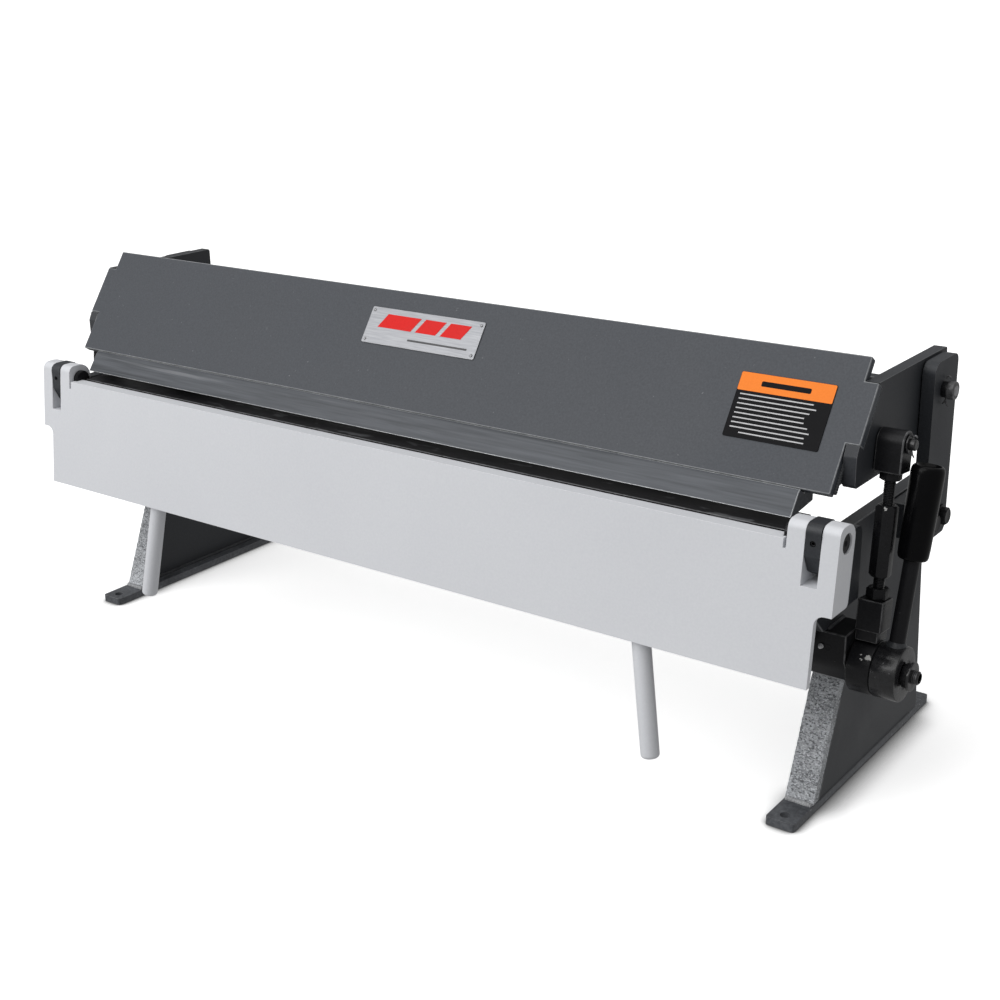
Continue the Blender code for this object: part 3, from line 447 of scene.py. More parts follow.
def tube(points, radius, segments=10, ripple=0.0, pitch=2.4):
    """A round bar along points, with domed ends; ripple makes it a weld bead."""
    bm = bmesh.new()
    path = [Vector(point) for point in points]
    rings = []
    travelled = 0.0
    for index, point in enumerate(path):
        ahead = path[min(index + 1, len(path) - 1)] - path[max(index - 1, 0)]
        _, first, second = frame_of(ahead)
        if index:
            travelled += (point - path[index - 1]).length
        size = radius * (1.0 + ripple * math.cos(math.tau * travelled / pitch))
        if ripple:
            size *= 1.0 + 0.18 * noise.noise(point * 0.11)
        if index in (0, len(path) - 1):
            size *= 0.5
        ring = []
        for corner in range(segments):
            angle = math.tau * corner / segments
            ring.append(bm.verts.new(point + (first * math.cos(angle)
                                              + second * math.sin(angle)) * size))
        rings.append(ring)
    bm.faces.new(rings[0])
    bm.faces.new(rings[-1])
    for lower, upper in zip(rings, rings[1:]):
        for index in range(segments):
            following = (index + 1) % segments
            bm.faces.new((lower[index], lower[following], upper[following], upper[index]))
    return bm


def weld(name, start, end, radius, body="frame", material=WELD):
    """A rippled weld bead along a straight seam."""
    first, last = Vector(start), Vector(end)
    steps = max(4, int((last - first).length / 0.6))
    points = [first.lerp(last, step / steps) for step in range(steps + 1)]
    return add(name, tube(points, radius, ripple=0.1), body, (material,))


def nut_profile(height, flat, bore):
    """A hexagon nut or bolt head's profile: its top and bottom are chamfered to a circle."""
    ease = 0.1 * height
    outer = [(0.0, flat * 0.93), (0.0, flat * 0.97), (ease, flat, 6), (height - ease, flat, 6),
             (height, flat * 0.97), (height, flat * 0.93)]
    return outer + [(height, bore + 0.8), (height - 0.8, bore), (0.8, bore), (0.0, bore + 0.8)]


def add_nut(name, start, direction, height, flat, bore, body, stands_for=()):
    """A hexagon nut round a stud."""
    return turned(name, nut_profile(height, flat, bore), start, direction, body, BLACK, 48, True,
                  stands_for)


def add_bolt_head(name, start, direction, height, flat, body):
    """A hexagon bolt head with a shallow crown, on a washer."""
    washer = rounded_profile([(0.0, 2.0), (0.0, flat * 1.45), (1.8, flat * 1.45), (1.8, 2.0)], 0.4)
    turned(f"{name}_washer", washer, start, direction, body, BLACK, 40)
    ease = 0.12 * height
    profile = [(1.8, flat * 0.97), (1.8 + ease, flat, 6), (1.8 + height - ease, flat, 6),
               (1.8 + height, flat * 0.96), (1.8 + height - 0.3, flat * 0.7)]
    return turned(name, profile, start, direction, body, BLACK, 48)


def threaded(length, radius, pitch=1.6):
    """The profile of a threaded rod, with a chamfer at its far end."""
    profile = []
    turns = int(length / pitch)
    for turn in range(turns):
        base = turn * pitch
        profile += [(base, radius - 0.75), (base + pitch * 0.4, radius),
                    (base + pitch * 0.6, radius)]
    return profile + [(turns * pitch, radius - 0.75), (length, radius - 1.3)]


def add_split_pin(name, centre, along, across, body, reach=7.0):
    """A split pin through a shaft: a loop on one side and two bent legs on the other."""
    along, across = Vector(along).normalized(), Vector(across).normalized()
    middle = Vector(centre)
    loop = []
    for step in range(13):
        angle = math.radians(200.0 * step / 12 - 100.0)
        loop.append(middle + across * (reach + 1.8 + 1.8 * math.cos(angle))
                    + along * 1.8 * math.sin(angle))
    straight = [middle - across * (reach - 2.0), middle - across * (reach + 1.0)]
    leg = straight + [middle - across * (reach + 4.0) + along * 1.2,
                      middle - across * (reach + 6.5) + along * 3.4]
    other = straight + [middle - across * (reach + 3.4) - along * 1.0,
                        middle - across * (reach + 4.6) - along * 2.6]
    for part, points in (("loop", loop), ("leg", leg), ("short_leg", other)):
        add(f"{name}_{part}", tube(points, 0.85, 8), body, (BLACK_WEAR_AND_EDGE_HIGHLIGHT,))


def panel_point(x, s, n):
    """A point s up the clamping panel from its foot and n behind its front face."""
    along = Vector((0.0, math.cos(PANEL_SLOPE), math.sin(PANEL_SLOPE)))
    behind = Vector((0.0, math.sin(PANEL_SLOPE), -math.cos(PANEL_SLOPE)))
    return PANEL_FOOT + along * s + behind * n + Vector((x, 0.0, 0.0))


# ---------------------------------------------------------------- frame

def add_frame_side(name, side):
    """One end of the frame with its welds, screws and pivot."""
    refined(f"{name}_foot_plate", 1.2, materials=(FOOT, FRAME_EDGE_WEAR_AND_HIGHLIGHT))
    add_cast_flange(name)
    refined(f"{name}_side_plate", 1.0)
    refined(f"{name}_bearing_block", 1.2, (BLACK, BLACK_WEAR_AND_EDGE_HIGHLIGHT))
    refined(f"{name}_arm", 1.2)
    refined(f"{name}_arm_spacer", 1.0)
    refined(f"{name}_hinge_bracket", 1.2)
    add_frame_welds(name, side)
    add_block_screws(name, side)
    add_arm_bolts(name, side)
    add_pivot(name, side)
    add_hinge_pin(name, side)


def add_cast_flange(name):
    """The leg flange with a hammered, rough cast skin that stays inside the CAD surface."""
    node = f"{name}_leg_flange"
    bm = cad_copy(node)
    low, high = span(node)
    pitch, depth = 2.0, 0.75
    for axis in range(3):
        normal = Vector([float(index == axis) for index in range(3)])
        for step in range(1, int((high[axis] - low[axis]) / pitch)):
            geometry = bm.verts[:] + bm.edges[:] + bm.faces[:]
            bmesh.ops.bisect_plane(bm, geom=geometry, plane_co=normal * (low[axis] + step * pitch),
                                   plane_no=normal)
    bm.normal_update()
    for vert in bm.verts:
        ripple = noise.noise(Vector((vert.co.x * 0.16, vert.co.y * 0.3, vert.co.z * 0.42)))
        grit = noise.noise(vert.co * 0.75)
        vert.co -= vert.normal * depth * (0.5 + 0.45 * ripple + 0.5 * grit)
    add(f"{node}_fine", bm, "frame", (CAST,), stands_for=(node,))


def add_frame_welds(name, side):
    """Beads along the foot, the leg flange, the bearing block and the hinge bracket."""
    _, foot_high = span(f"{name}_foot_plate")
    flange_low, flange_high = span(f"{name}_leg_flange")
    _, plate_high = span(f"{name}_side_plate")
    block_low, block_high = span(f"{name}_bearing_block")
    inner, outer = reach_of(f"{name}_leg_flange")
    top = foot_high.z + 0.6
    weld(f"{name}_weld_flange_foot", (side * (inner + 1), flange_low.y - 0.6, top),
         (side * (outer - 1), flange_low.y - 0.6, top), 2.4, material=WELD_PALE)
    weld(f"{name}_weld_plate_foot", (side * (outer - 0.5), flange_low.y + 14, top),
         (side * (outer - 0.5), plate_high.y - 18, top), 1.3)
    plate_inner, _ = reach_of(f"{name}_side_plate")
    weld(f"{name}_weld_plate_inside", (side * plate_inner, flange_low.y + 14, top),
         (side * plate_inner, plate_high.y - 18, top), 2.6)
    seam_z = flange_high.z + 1.0
    weld(f"{name}_weld_flange_top", (side * (inner + 2), flange_high.y - 8.5, seam_z - 1.0),
         (side * (outer - 1), flange_high.y - 8.5, seam_z - 1.0), 2.6,
         material=WELD_PALE)
    weld(f"{name}_weld_block_back", (side * outer, block_high.y + 0.4, block_low.z + 1),
         (side * outer, block_high.y + 0.4, block_high.z - 1), 2.2)
    weld(f"{name}_weld_block_top", (side * outer, block_low.y + 4, block_high.z + 0.4),
         (side * outer, block_high.y - 2, block_high.z + 0.4), 2.2)
    bracket_low, bracket_high = span(f"{name}_hinge_bracket")
    weld(f"{name}_weld_bracket", (side * (outer + 0.6), bracket_high.y - 0.5, bracket_low.z + 3),
         (side * (outer + 0.6), bracket_high.y - 0.5, plate_high.z - 3), 2.0)


def add_block_screws(name, side):
    """A grease nipple in pale grey, partly a bright fitting and partly a painted highlight, and a
    socket set screw on the front of the bearing block.
    """
    low, high = span(f"{name}_bearing_block")
    inner, _ = reach_of(f"{name}_bearing_block")
    z = high.z - 15.0
    nipple = rounded_profile([(0.0, 2.4), (1.4, 2.4), (1.4, 1.7), (3.2, 1.9), (4.2, 0.8)], 0.4)
    # The nipple's pale grey is partly its bright fitting and partly a painted highlight dot.
    turned(f"{name}_grease_nipple", nipple, (side * (inner + 26.8), low.y + 0.2, z), (0, -1, 0),
           "frame", LABEL_PALE, 28)
    add_socket_screw(f"{name}_block_screw", (side * (inner + 33.4), low.y - 0.2, z - 0.3),
                     (0, 1, 0), 3.4, 6.0, "frame")


def add_socket_screw(name, start, direction, radius, length, body, stands_for=()):
    """A set screw with a hexagon socket in the end that start is on."""
    socket = radius * 0.52
    profile = [(length, radius * 0.5), (length, radius - 0.4), (length - 0.4, radius),
               (0.4, radius), (0.0, radius - 0.35), (0.0, socket + 0.5), (0.25, socket, 6),
               (length * 0.55, socket, 6), (length * 0.6, socket * 0.3)]
    return turned(name, profile, start, direction, body, BLACK, 48, stands_for=stands_for)


def add_arm_bolts(name, side):
    """Two hexagon bolts through the foot of the arm, and their nuts inside the side plate."""
    low, high = span(f"{name}_arm")
    _, outer = reach_of(f"{name}_arm")
    inner, _ = reach_of(f"{name}_side_plate")
    z = low.z + 19.0
    for tag, y in (("front", low.y + 15.0), ("rear", high.y - 15.0)):
        add_bolt_head(f"{name}_arm_bolt_{tag}", (side * outer, y, z), (side, 0, 0), 6.0, 7.4,
                      "frame")
        add_nut(f"{name}_arm_nut_{tag}", (side * inner, y, z), (-side, 0, 0), 7.0, 7.4, 4.2,
                "frame")


def add_pivot(name, side):
    """The end of the beam's pivot: a round collar, a domed tip and a split pin."""
    low, high = span(f"{name}_pivot_collar")
    middle = (low + high) / 2
    inner, outer = reach_of(f"{name}_pivot_collar")
    radius = (high.z - low.z) / 2
    _, face = reach_of(f"{name}_arm")
    body_ring = rounded_profile([(0.0, 3.0), (0.0, radius - 1.2), (inner - face, radius - 1.2),
                                 (inner - face, 3.0)], 0.5)
    turned(f"{name}_pivot_shank", body_ring, (side * (face + 0.2), middle.y, middle.z),
           (side, 0, 0), "frame", BLACK, 40)
    ring = rounded_profile([(0.0, 5.4), (0.0, radius), (outer - inner, radius),
                            (outer - inner, 5.4)], 1.2, closed=True)
    turned(f"{name}_pivot_collar_fine", ring, (side * inner, middle.y, middle.z), (side, 0, 0),
           "frame", BLACK_WEAR_AND_EDGE_HIGHLIGHT, closed=True, stands_for=(f"{name}_pivot_collar",))
    tip = [(0.0, 5.35), (0.9, 5.2), (1.5, 4.6), (1.8, 3.2), (1.9, 1.6)]
    turned(f"{name}_pivot_tip", tip, (side * (outer - 1.0), middle.y, middle.z), (side, 0, 0),
           "frame", STEEL, 40)
    add_split_pin(f"{name}_pivot_pin", (side * (inner - 1.6), middle.y, middle.z), (side, 0, 0),
                  (0, 0.25, 1), "frame", reach=radius)


def add_hinge_pin(name, side):
    """The hinge pin with its chamfered, centre-drilled end, and its set screw in the lug."""
    low, high = span(f"{name}_hinge_pin")
    middle = (low + high) / 2
    inner, outer = reach_of(f"{name}_hinge_pin")
    length = outer - inner
    profile = [(0.0, 5.0), (0.0, 9.0), (1.0, 10.0), (5.2, 10.0), (5.2, 9.0),
               (length - 1.2, 9.0), (length - 0.3, 8.2), (length - 0.3, 3.0), (length - 2.2, 1.2)]
    turned(f"{name}_hinge_pin_fine", profile, (side * inner, middle.y, middle.z), (side, 0, 0),
           "frame", BLACK, stands_for=(f"{name}_hinge_pin",))
    screw_low, screw_high = span(f"{name}_set_screw")
    centre = (screw_low + screw_high) / 2
    add_socket_screw(f"{name}_set_screw_fine", (centre.x, screw_low.y, centre.z), (0, 1, 0),
                     2.6, screw_high.y - screw_low.y, "frame", (f"{name}_set_screw",))


def add_bed():
    """The bed jaw, its beam, the tie bar and the apron's stop screws."""
    refined("bed_jaw", 0.7, (JAW, BLACK_WEAR_AND_EDGE_HIGHLIGHT))
    refined("bed_beam", 1.0)
    low, high = span("rear_tie_bar")
    middle = (low + high) / 2
    radius = (high.z - low.z) / 2
    turned("rear_tie_bar_fine", [(0.0, radius), (high.x - low.x, radius)],
           (low.x, middle.y, middle.z), (1, 0, 0), "frame", FRAME, stands_for=("rear_tie_bar",))
    beam_low, beam_high = span("bed_beam")
    for index in range(9):
        x = beam_low.x + 60 + index * (beam_high.x - beam_low.x - 120) / 8
        weld(f"bed_stitch_weld_{index}", (x - 22, beam_high.y - 0.3, beam_high.z + 0.2),
             (x + 22, beam_high.y - 0.3, beam_high.z + 0.2), 2.2)
    for name, side in SIDES:
        collar = rounded_profile([(0.0, radius - 0.5), (0.0, radius + 2.4), (2.4, radius - 0.5)],
                                 0.9, closed=True)
        turned(f"{name}_tie_weld", collar, (side * (high.x - 0.4), middle.y, middle.z),
               (-side, 0, 0), "frame", WELD, 48, True)
        add_stop_screw(name)


def add_stop_screw(name):
    """The screw that the apron rests against, with a domed tip and a hexagon head behind."""
    low, high = span(f"{name}_apron_stop")
    middle = (low + high) / 2
    head = 8.0
    radius = 6.0
    shank = high.y - head - low.y
    dome = [(0.0, 2.0), (0.3, 3.6), (1.2, 5.2), (2.4, radius)]
    body = threaded(shank - 2.4, radius)
    profile = dome + [(2.4 + distance, size) for distance, size in body[2:-1]] + [(shank, radius)]
    turned(f"{name}_apron_stop_fine", profile, (middle.x, low.y, middle.z), (0, 1, 0), "frame",
           STEEL, 32, stands_for=(f"{name}_apron_stop",))
    profile = [(0.0, 9.2), (0.9, 9.5, 6), (head - 0.9, 9.5, 6), (head, 9.2), (head, 6.0)]
    turned(f"{name}_apron_stop_head", profile, (middle.x, high.y - head, middle.z), (0, 1, 0),
           "frame", BLACK, 48)


# ---------------------------------------------------------------- apron

def add_apron():
    """The leaf with softened edges, the handle rods, and their welds."""
    refined("apron_leaf", 1.1, (APRON, APRON_EDGE_WEAR_AND_HIGHLIGHT))
    for name, _ in SIDES:
        add_handle(name)


def add_handle(name):
    """A handle rod with rounded ends, and the two beads that hold it to the leaf's back."""
    node = frame["nodes"][f"{name}_handle_rod"]
    points = [v.co / MM for v in node.data.vertices]
    low_z, high_z = min(p.z for p in points), max(p.z for p in points)
    ends = []
    for z in (low_z, high_z):
        near = [p for p in points if abs(p.z - z) < 3.0]
        ends.append(sum(near, Vector()) / len(near))
    axis = (ends[1] - ends[0]).normalized()
    length = (ends[1] - ends[0]).length
    radius, ease = 9.0, 4.0
    cap = [(ease * (1 - math.cos(math.radians(a))), radius - ease + ease * math.sin(math.radians(a)))
           for a in range(0, 91, 15)]
    profile = cap + [(length - distance, size) for distance, size in reversed(cap)]
    turned(f"{name}_handle_rod_fine", profile, ends[0], axis, "apron", APRON,
           stands_for=(f"{name}_handle_rod",))
    leaf_low, _ = span("apron_leaf")
    sideways = Vector((1, 0, 0))
    for tag, offset in (("a", -5.5), ("b", 5.5)):
        first = ends[0] + axis * ((leaf_low.z + 12 - ends[0].z) / axis.z)
        first = first + sideways * offset + Vector((0, -7.2, 0))
        last = ends[1] - axis * 12 + sideways * offset + Vector((0, -7.2, 0))
        weld(f"{name}_handle_weld_{tag}", first, last, 2.3, "apron", APRON)


# ---------------------------------------------------------------- clamping beam

def add_beam():
    """The sloping panel, nose bar, back rail, end plates and the two plates on the panel."""
    refined("clamp_panel", 1.0, (PANEL, PANEL_EDGE_WEAR_AND_HIGHLIGHT))
    refined("nose_bar", 0.8, (NOSE, NOSE_EDGE_WEAR_AND_HIGHLIGHT))
    refined("beam_back_rail", 1.0)
    low, high = span("beam_back_rail")
    for index in range(7):
        x = low.x + 70 + index * (high.x - low.x - 140) / 6
        weld(f"rail_stitch_weld_{index}", (x - 25, low.y - 0.2, low.z + 14),
             (x + 25, low.y - 0.2, low.z + 14), 2.0, "clamp_beam")
    for name, side in SIDES:
        refined(f"{name}_end_plate", 1.3)
        add_link_pin(name, side)
        inner = reach_of(f"{name}_end_plate")[0] - 0.2
        x = side * inner
        weld(f"{name}_rail_weld", (x, high.y + 0.2, low.z + 2), (x, high.y + 0.2, high.z - 2),
             2.2, "clamp_beam")
        add_corner_weld_and_shade_fill(name, side, inner)
    add_nameplate()
    add_label()


def add_corner_weld_and_shade_fill(name, side, inner):
    """A dark built-up piece in weld paint that joins the foot of the panel's back to the end plate's
    front edge: partly a weld, partly a dark fill put where the corner lies in shade.
    """
    foot, top = panel_point(0.0, 3.0, 9.2), panel_point(0.0, 45.0, 9.2)
    reach, width = 29.0, 9.0
    hollow = ((0.0, 0.0), (4.0, 4.2), (9.0, 6.0), (16.0, 5.6), (24.0, 3.6), (reach, 4.0))
    outline = [(foot.y + back, foot.z + up) for back, up in hollow]
    outline += [(foot.y + reach, top.z), (top.y, top.z)]
    bm = prism(outline, inner - width, inner, lambda y, z, x: Vector((side * x, y, z)))
    # This piece in weld paint is partly weld and partly a dark fill that stands in for shade.
    weld_and_shade_piece = add(f"{name}_corner_weld_and_shade_fill", bm, "clamp_beam", (WELD, WELD))
    soften_edges(weld_and_shade_piece, 1.6)
    first, last = (panel_point(side * (inner - 1.0), s, 9.0) for s in (3.0, 40.0))
    weld(f"{name}_corner_bead", first, last, 2.6, "clamp_beam")


def plate_place(a, b, depth):
    """A point on the panel: a along X, b up the slope, depth proud of the face."""
    return panel_point(a, b, -depth)


def panel_coordinates(node):
    """A plate's X range and its range up the slope."""
    low, high = span(node)
    along = Vector((0.0, math.cos(PANEL_SLOPE), math.sin(PANEL_SLOPE)))
    points = [v.co / MM for v in frame["nodes"][node].data.vertices]
    slopes = [(p - PANEL_FOOT).dot(along) for p in points]
    return (low.x, high.x), (min(slopes), max(slopes))


def add_plate_shape(name, outline, low, high, material):
    """A thin flat shape that stands from low to high above the panel's face."""
    add(name, prism(outline, low, high, plate_place), "clamp_beam", (material,), smooth=False)


def add_nameplate():
    """A plain brushed plate with generic slanted red blocks, a rule and four rivets."""
    (x0, x1), (s0, s1) = panel_coordinates("nameplate")
    bm = prism(rounded_rectangle((x0, x1), (s0, s1), 2.0), 0.05, 1.1, plate_place)
    plate = add("nameplate_fine", bm, "clamp_beam", (SILVER, STEEL),
                stands_for=("nameplate",))
    soften_edges(plate, 0.3, 2)
    width, height = x1 - x0, s1 - s0
    slant = 0.10 * width
    for index, (start, size) in enumerate(((0.10, 0.30), (0.44, 0.18), (0.66, 0.18))):
        a, b = x0 + start * width, x0 + (start + size) * width
        low, high = s0 + 0.46 * height, s0 + 0.84 * height
        outline = [(a, low), (b, low), (b + slant * 0.6, high), (a + slant * 0.6, high)]
        add_plate_shape(f"nameplate_block_{index}", outline, 1.0, 1.3, RED)
    outline = rounded_rectangle((x0 + 0.4 * width, x1 - 0.08 * width),
                                (s0 + 0.2 * height, s0 + 0.25 * height), 0.6)
    add_plate_shape("nameplate_rule", outline, 1.0, 1.25, INK)
    normal = plate_place(0, 0, 1) - plate_place(0, 0, 0)
    for index, (a, b) in enumerate(((x0 + 4, s0 + 4), (x1 - 4, s0 + 4), (x1 - 4, s1 - 4),
                                    (x0 + 4, s1 - 4))):
        rivet = [(0.0, 1.7), (0.4, 1.6), (0.8, 1.2), (1.0, 0.5)]
        turned(f"nameplate_rivet_{index}", rivet, plate_place(a, b, 1.0), normal, "clamp_beam",
               STEEL, 20)


def add_label():
    """A plain two-colour label: an orange band over a black field with generic pale bars."""
    (x0, x1), (s0, s1) = panel_coordinates("label_plate")
    bm = prism(rounded_rectangle((x0, x1), (s0, s1), 1.5), 0.05, 0.75, plate_place)
    add("label_plate_fine", bm, "clamp_beam", (LABEL_BLACK,),
        stands_for=("label_plate",))
    width, height = x1 - x0, s1 - s0
    band = rounded_rectangle((x0 + 0.3, x1 - 0.3), (s1 - 0.285 * height, s1 - 0.3), 1.2)
    add_plate_shape("label_band", band, 0.7, 0.9, ORANGE)
    bar = rounded_rectangle((x0 + 0.24 * width, x0 + 0.76 * width),
                            (s1 - 0.19 * height, s1 - 0.11 * height), 1.2)
    add_plate_shape("label_band_bar", bar, 0.85, 1.0, LABEL_BLACK)
    rows = 9
    for index in range(rows):
        level = s1 - height * (0.35 + 0.58 * index / (rows - 1))
        indent = 0.16 if index == rows - 1 else 0.05
        ragged = 0.5 + 0.5 * noise.noise(Vector((index * 1.7, 0.3, 0.0)))
        end = x1 - width * (indent + 0.25 * ragged * (index < rows - 1))
        outline = [(x0 + indent * width, level), (end, level), (end, level + 1.15),
                   (x0 + indent * width, level + 1.15)]
        add_plate_shape(f"label_bar_{index}", outline, 0.7, 0.88, LABEL_PALE)


def add_link_pin(name, side):
    """The pin that carries the link: chamfered, with a washer and a split pin outside the eye."""
    low, high = span(f"{name}_link_pin")
    middle = (low + high) / 2
    inner, outer = reach_of(f"{name}_link_pin")
    length = outer - inner
    profile = [(0.0, 7.0), (0.4, 8.4), (1.2, 9.0), (6.0, 9.0), (6.0, 5.0), (length - 1.0, 5.0),
               (length - 0.2, 4.4), (length, 3.0), (length - 0.3, 1.0)]
    turned(f"{name}_link_pin_fine", profile, (side * inner, middle.y, middle.z), (side, 0, 0),
           "clamp_beam", OILED, 48, stands_for=(f"{name}_link_pin",))
    washer = rounded_profile([(0.0, 5.2), (0.0, 8.4), (1.6, 8.4), (1.6, 5.2)], 0.4, closed=True)
    turned(f"{name}_link_washer", washer, (side * (outer - 7.1), middle.y, middle.z),
           (side, 0, 0), "clamp_beam", OILED, 40, True)
    add_split_pin(f"{name}_link_split_pin", (side * (outer - 3.3), middle.y, middle.z),
                  (side, 0, 0), (0, 0.5, 1), "clamp_beam", reach=4.4)


# ---------------------------------------------------------------- links

def link_frame(name):
    """The turnbuckle's middle, and the unit vectors up the link and across it."""
    joint = JOINTS[f"{name}_turnbuckle_spin"]
    middle = Vector(joint["pos_m"]) / MM
    up = Vector(joint["axis"]).normalized()
    return middle, up, Vector((0.0, up.z, -up.y))


def link_outline(outline, low, high, name, side):
    """A shape drawn in the link's own plane and given width along X."""
    middle, up, across = link_frame(name)

    def place(a, b, x):
        point = middle + across * a + up * b
        return Vector((side * x, point.y, point.z))

    return prism(outline, low, high, place)


def add_link(name, side):
    """The eye, the turnbuckle with its studs and lock nuts, and the strap on the eccentric."""
    middle, up, _ = link_frame(name)
    body = f"{name}_link"
    inner, outer = reach_of(f"{name}_link_eye")
    pin = joint_point(f"{name}_link_swing")
    pin_b = (pin - middle).dot(up)
    half = LINK_HALF_DEPTH
    outline = [(-half, EYE_BOTTOM), (half, EYE_BOTTOM)] + arc((0.0, pin_b), half, 0, 180, 20)
    eye = add(f"{name}_link_eye_fine", link_outline(outline, inner, outer, name, side), body,
              (BLACK, BLACK_WEAR_AND_EDGE_HIGHLIGHT), stands_for=(f"{name}_link_eye",))
    soften_edges(eye, 1.3)

    nut_low = EYE_BOTTOM - 0.3 - UPPER_NUT_HEIGHT
    add_nut(f"{name}_upper_lock_nut_fine", middle + up * nut_low, up, UPPER_NUT_HEIGHT, 8.5, 5.3,
            body, (f"{name}_upper_lock_nut",))
    add_nut(f"{name}_lower_lock_nut_fine", middle + up * (STRAP_TOP + 0.3), up,
            LOWER_NUT_HEIGHT, 9.1, 5.3, body, (f"{name}_lower_lock_nut",))
    upper = threaded(nut_low + 9.0 - BODY_HALF + 12.0, STUD_RADIUS + 0.15, 1.5)
    turned(f"{name}_upper_thread", upper, middle + up * (BODY_HALF - 10.0), up, body, OILED, 32)
    lower = threaded(-BODY_HALF - STRAP_TOP + 10.0, STUD_RADIUS + 0.15, 1.5)
    turned(f"{name}_lower_thread", lower, middle + up * STRAP_TOP, up, body, OILED, 32)

    flat, length = 8.7, 2 * BODY_HALF
    profile = [(0.0, flat * 0.9), (0.3, flat * 0.95), (2.2, flat, 6), (length - 2.2, flat, 6),
               (length - 0.3, flat * 0.95), (length, flat * 0.9), (length, 6.3),
               (length - 1.0, 5.6), (1.0, 5.6), (0.0, 6.3)]
    spots = ((side * 503.0, middle.y - 6.0, middle.z + 30.0, 1.6),
             (side * 512.0, middle.y - 5.5, middle.z + 31.5, 1.2))
    turned(f"{name}_turnbuckle_fine", profile, middle - up * BODY_HALF, up,
           f"{name}_turnbuckle_body", chipped_enamel(name, "turnbuckle", spots), 48, True,
           (f"{name}_turnbuckle",))
    add_strap(name, side)


def chipped_enamel(name, piece, spots):
    """The black enamel with its own pale chips."""
    made = surface(f"{name}_{piece}_enamel", (0.005, 0.005, 0.006), (0.015, 0.015, 0.017),
                   (0.2, 0.4), grain=500.0, cloud=30.0, bump=0.1, bump_scale=320.0, gloss=0.25,
                   specks=(0.72, 240.0, (0.13, 0.13, 0.135)))
    return chipped(made, spots)


def add_strap(name, side):
    """The ring round the eccentric and the block above it."""
    body = f"{name}_link"
    width = STRAP_OUTER - STRAP_INNER
    profile = rounded_profile([(0.0, STRAP_BORE), (0.0, STRAP_RADIUS), (width, STRAP_RADIUS),
                               (width, STRAP_BORE)], 1.4, closed=True)
    spots = ((side * 508.0, SHAFT_Y - 19.0, SHAFT_Z + 19.0, 1.9),
             (side * 515.5, SHAFT_Y - 19.5, SHAFT_Z + 17.0, 3.3),
             (side * 510.5, SHAFT_Y - 21.0, SHAFT_Z + 14.0, 1.1))
    paint = chipped_enamel(name, "strap", spots)
    turned(f"{name}_strap_ring", profile, (side * STRAP_INNER, SHAFT_Y, SHAFT_Z), (side, 0, 0),
           body, paint, 72, True, (f"{name}_strap",))
    half = LINK_HALF_DEPTH
    neck = [(-half + 0.5, -ECCENTRIC_DROP + 20.5), (half - 0.5, -ECCENTRIC_DROP + 20.5),
            (half - 0.5, STRAP_SHOULDER + 2), (-half + 0.5, STRAP_SHOULDER + 2)]
    head = [(-half, STRAP_SHOULDER), (half, STRAP_SHOULDER), (half, STRAP_TOP), (-half, STRAP_TOP)]
    for tag, outline, x_range in (("neck", neck, (STRAP_INNER + 0.3, STRAP_OUTER - 0.3)),
                                  ("head", head, (STRAP_INNER - 0.3, STRAP_HEAD_OUTER))):
        bm = link_outline(outline, x_range[0], x_range[1], name, side)
        block = add(f"{name}_strap_{tag}", bm, body, (paint, BLACK_WEAR_AND_EDGE_HIGHLIGHT))
        soften_edges(block, 1.1)


# ---------------------------------------------------------------- clamp levers

def lever_direction(side):
    """The lever's line: back by its lean and outwards by its splay."""
    return Vector((side * LEVER_SPLAY, math.sin(LEVER_LEAN), math.cos(LEVER_LEAN)))


def add_lever(name, side):
    """The hub, its nut and threaded spindle end, the lever and its gloss grip."""
    body = f"{name}_lever"
    width = HUB_OUTER - HUB_INNER
    profile = rounded_profile([(0.0, 5.0), (0.0, HUB_RADIUS), (width, HUB_RADIUS), (width, 14.0),
                               (width - 0.9, 13.0), (width - 0.9, 5.0)], 1.3)
    turned(f"{name}_lever_hub_fine", profile, (side * HUB_INNER, SHAFT_Y, SHAFT_Z), (side, 0, 0),
           body, OILED, 80, stands_for=(f"{name}_lever_hub",))

    nut_x = HUB_OUTER - 0.6
    add_nut(f"{name}_hub_nut_fine", (side * nut_x, SHAFT_Y, SHAFT_Z), (side, 0, 0), 6.2, 9.6, 6.3,
            body, (f"{name}_hub_nut",))
    washer = rounded_profile([(0.0, 6.3), (0.0, 13.4), (2.8, 13.4), (2.8, 6.3)], 0.7, closed=True)
    turned(f"{name}_hub_washer", washer, (side * (nut_x + 6.0), SHAFT_Y, SHAFT_Z), (side, 0, 0),
           body, OILED, closed=True)
    _, end_x = reach_of(f"{name}_eccentric_shaft")
    start = nut_x + 2.0
    turned(f"{name}_spindle_thread", threaded(end_x - start, 6.25, 1.5),
           (side * start, SHAFT_Y, SHAFT_Z), (side, 0, 0), body, OILED, 32)

    base = Vector((side * (HUB_INNER + HUB_OUTER) / 2, SHAFT_Y, SHAFT_Z))
    line = lever_direction(side)
    turned(f"{name}_lever_rod_fine", [(13.0, 7.2), (181.0, 7.2)], base, line, body, BLACK, 40,
           stands_for=(f"{name}_lever_rod",))
    ring = [(23.4, 7.0), (23.8, 9.6), (25.2, 9.2), (26.6, 8.2), (28.4, 7.4)]
    turned(f"{name}_lever_weld", ring, base, line, body, WELD, 40)
    add_grip(name, base, line, body)


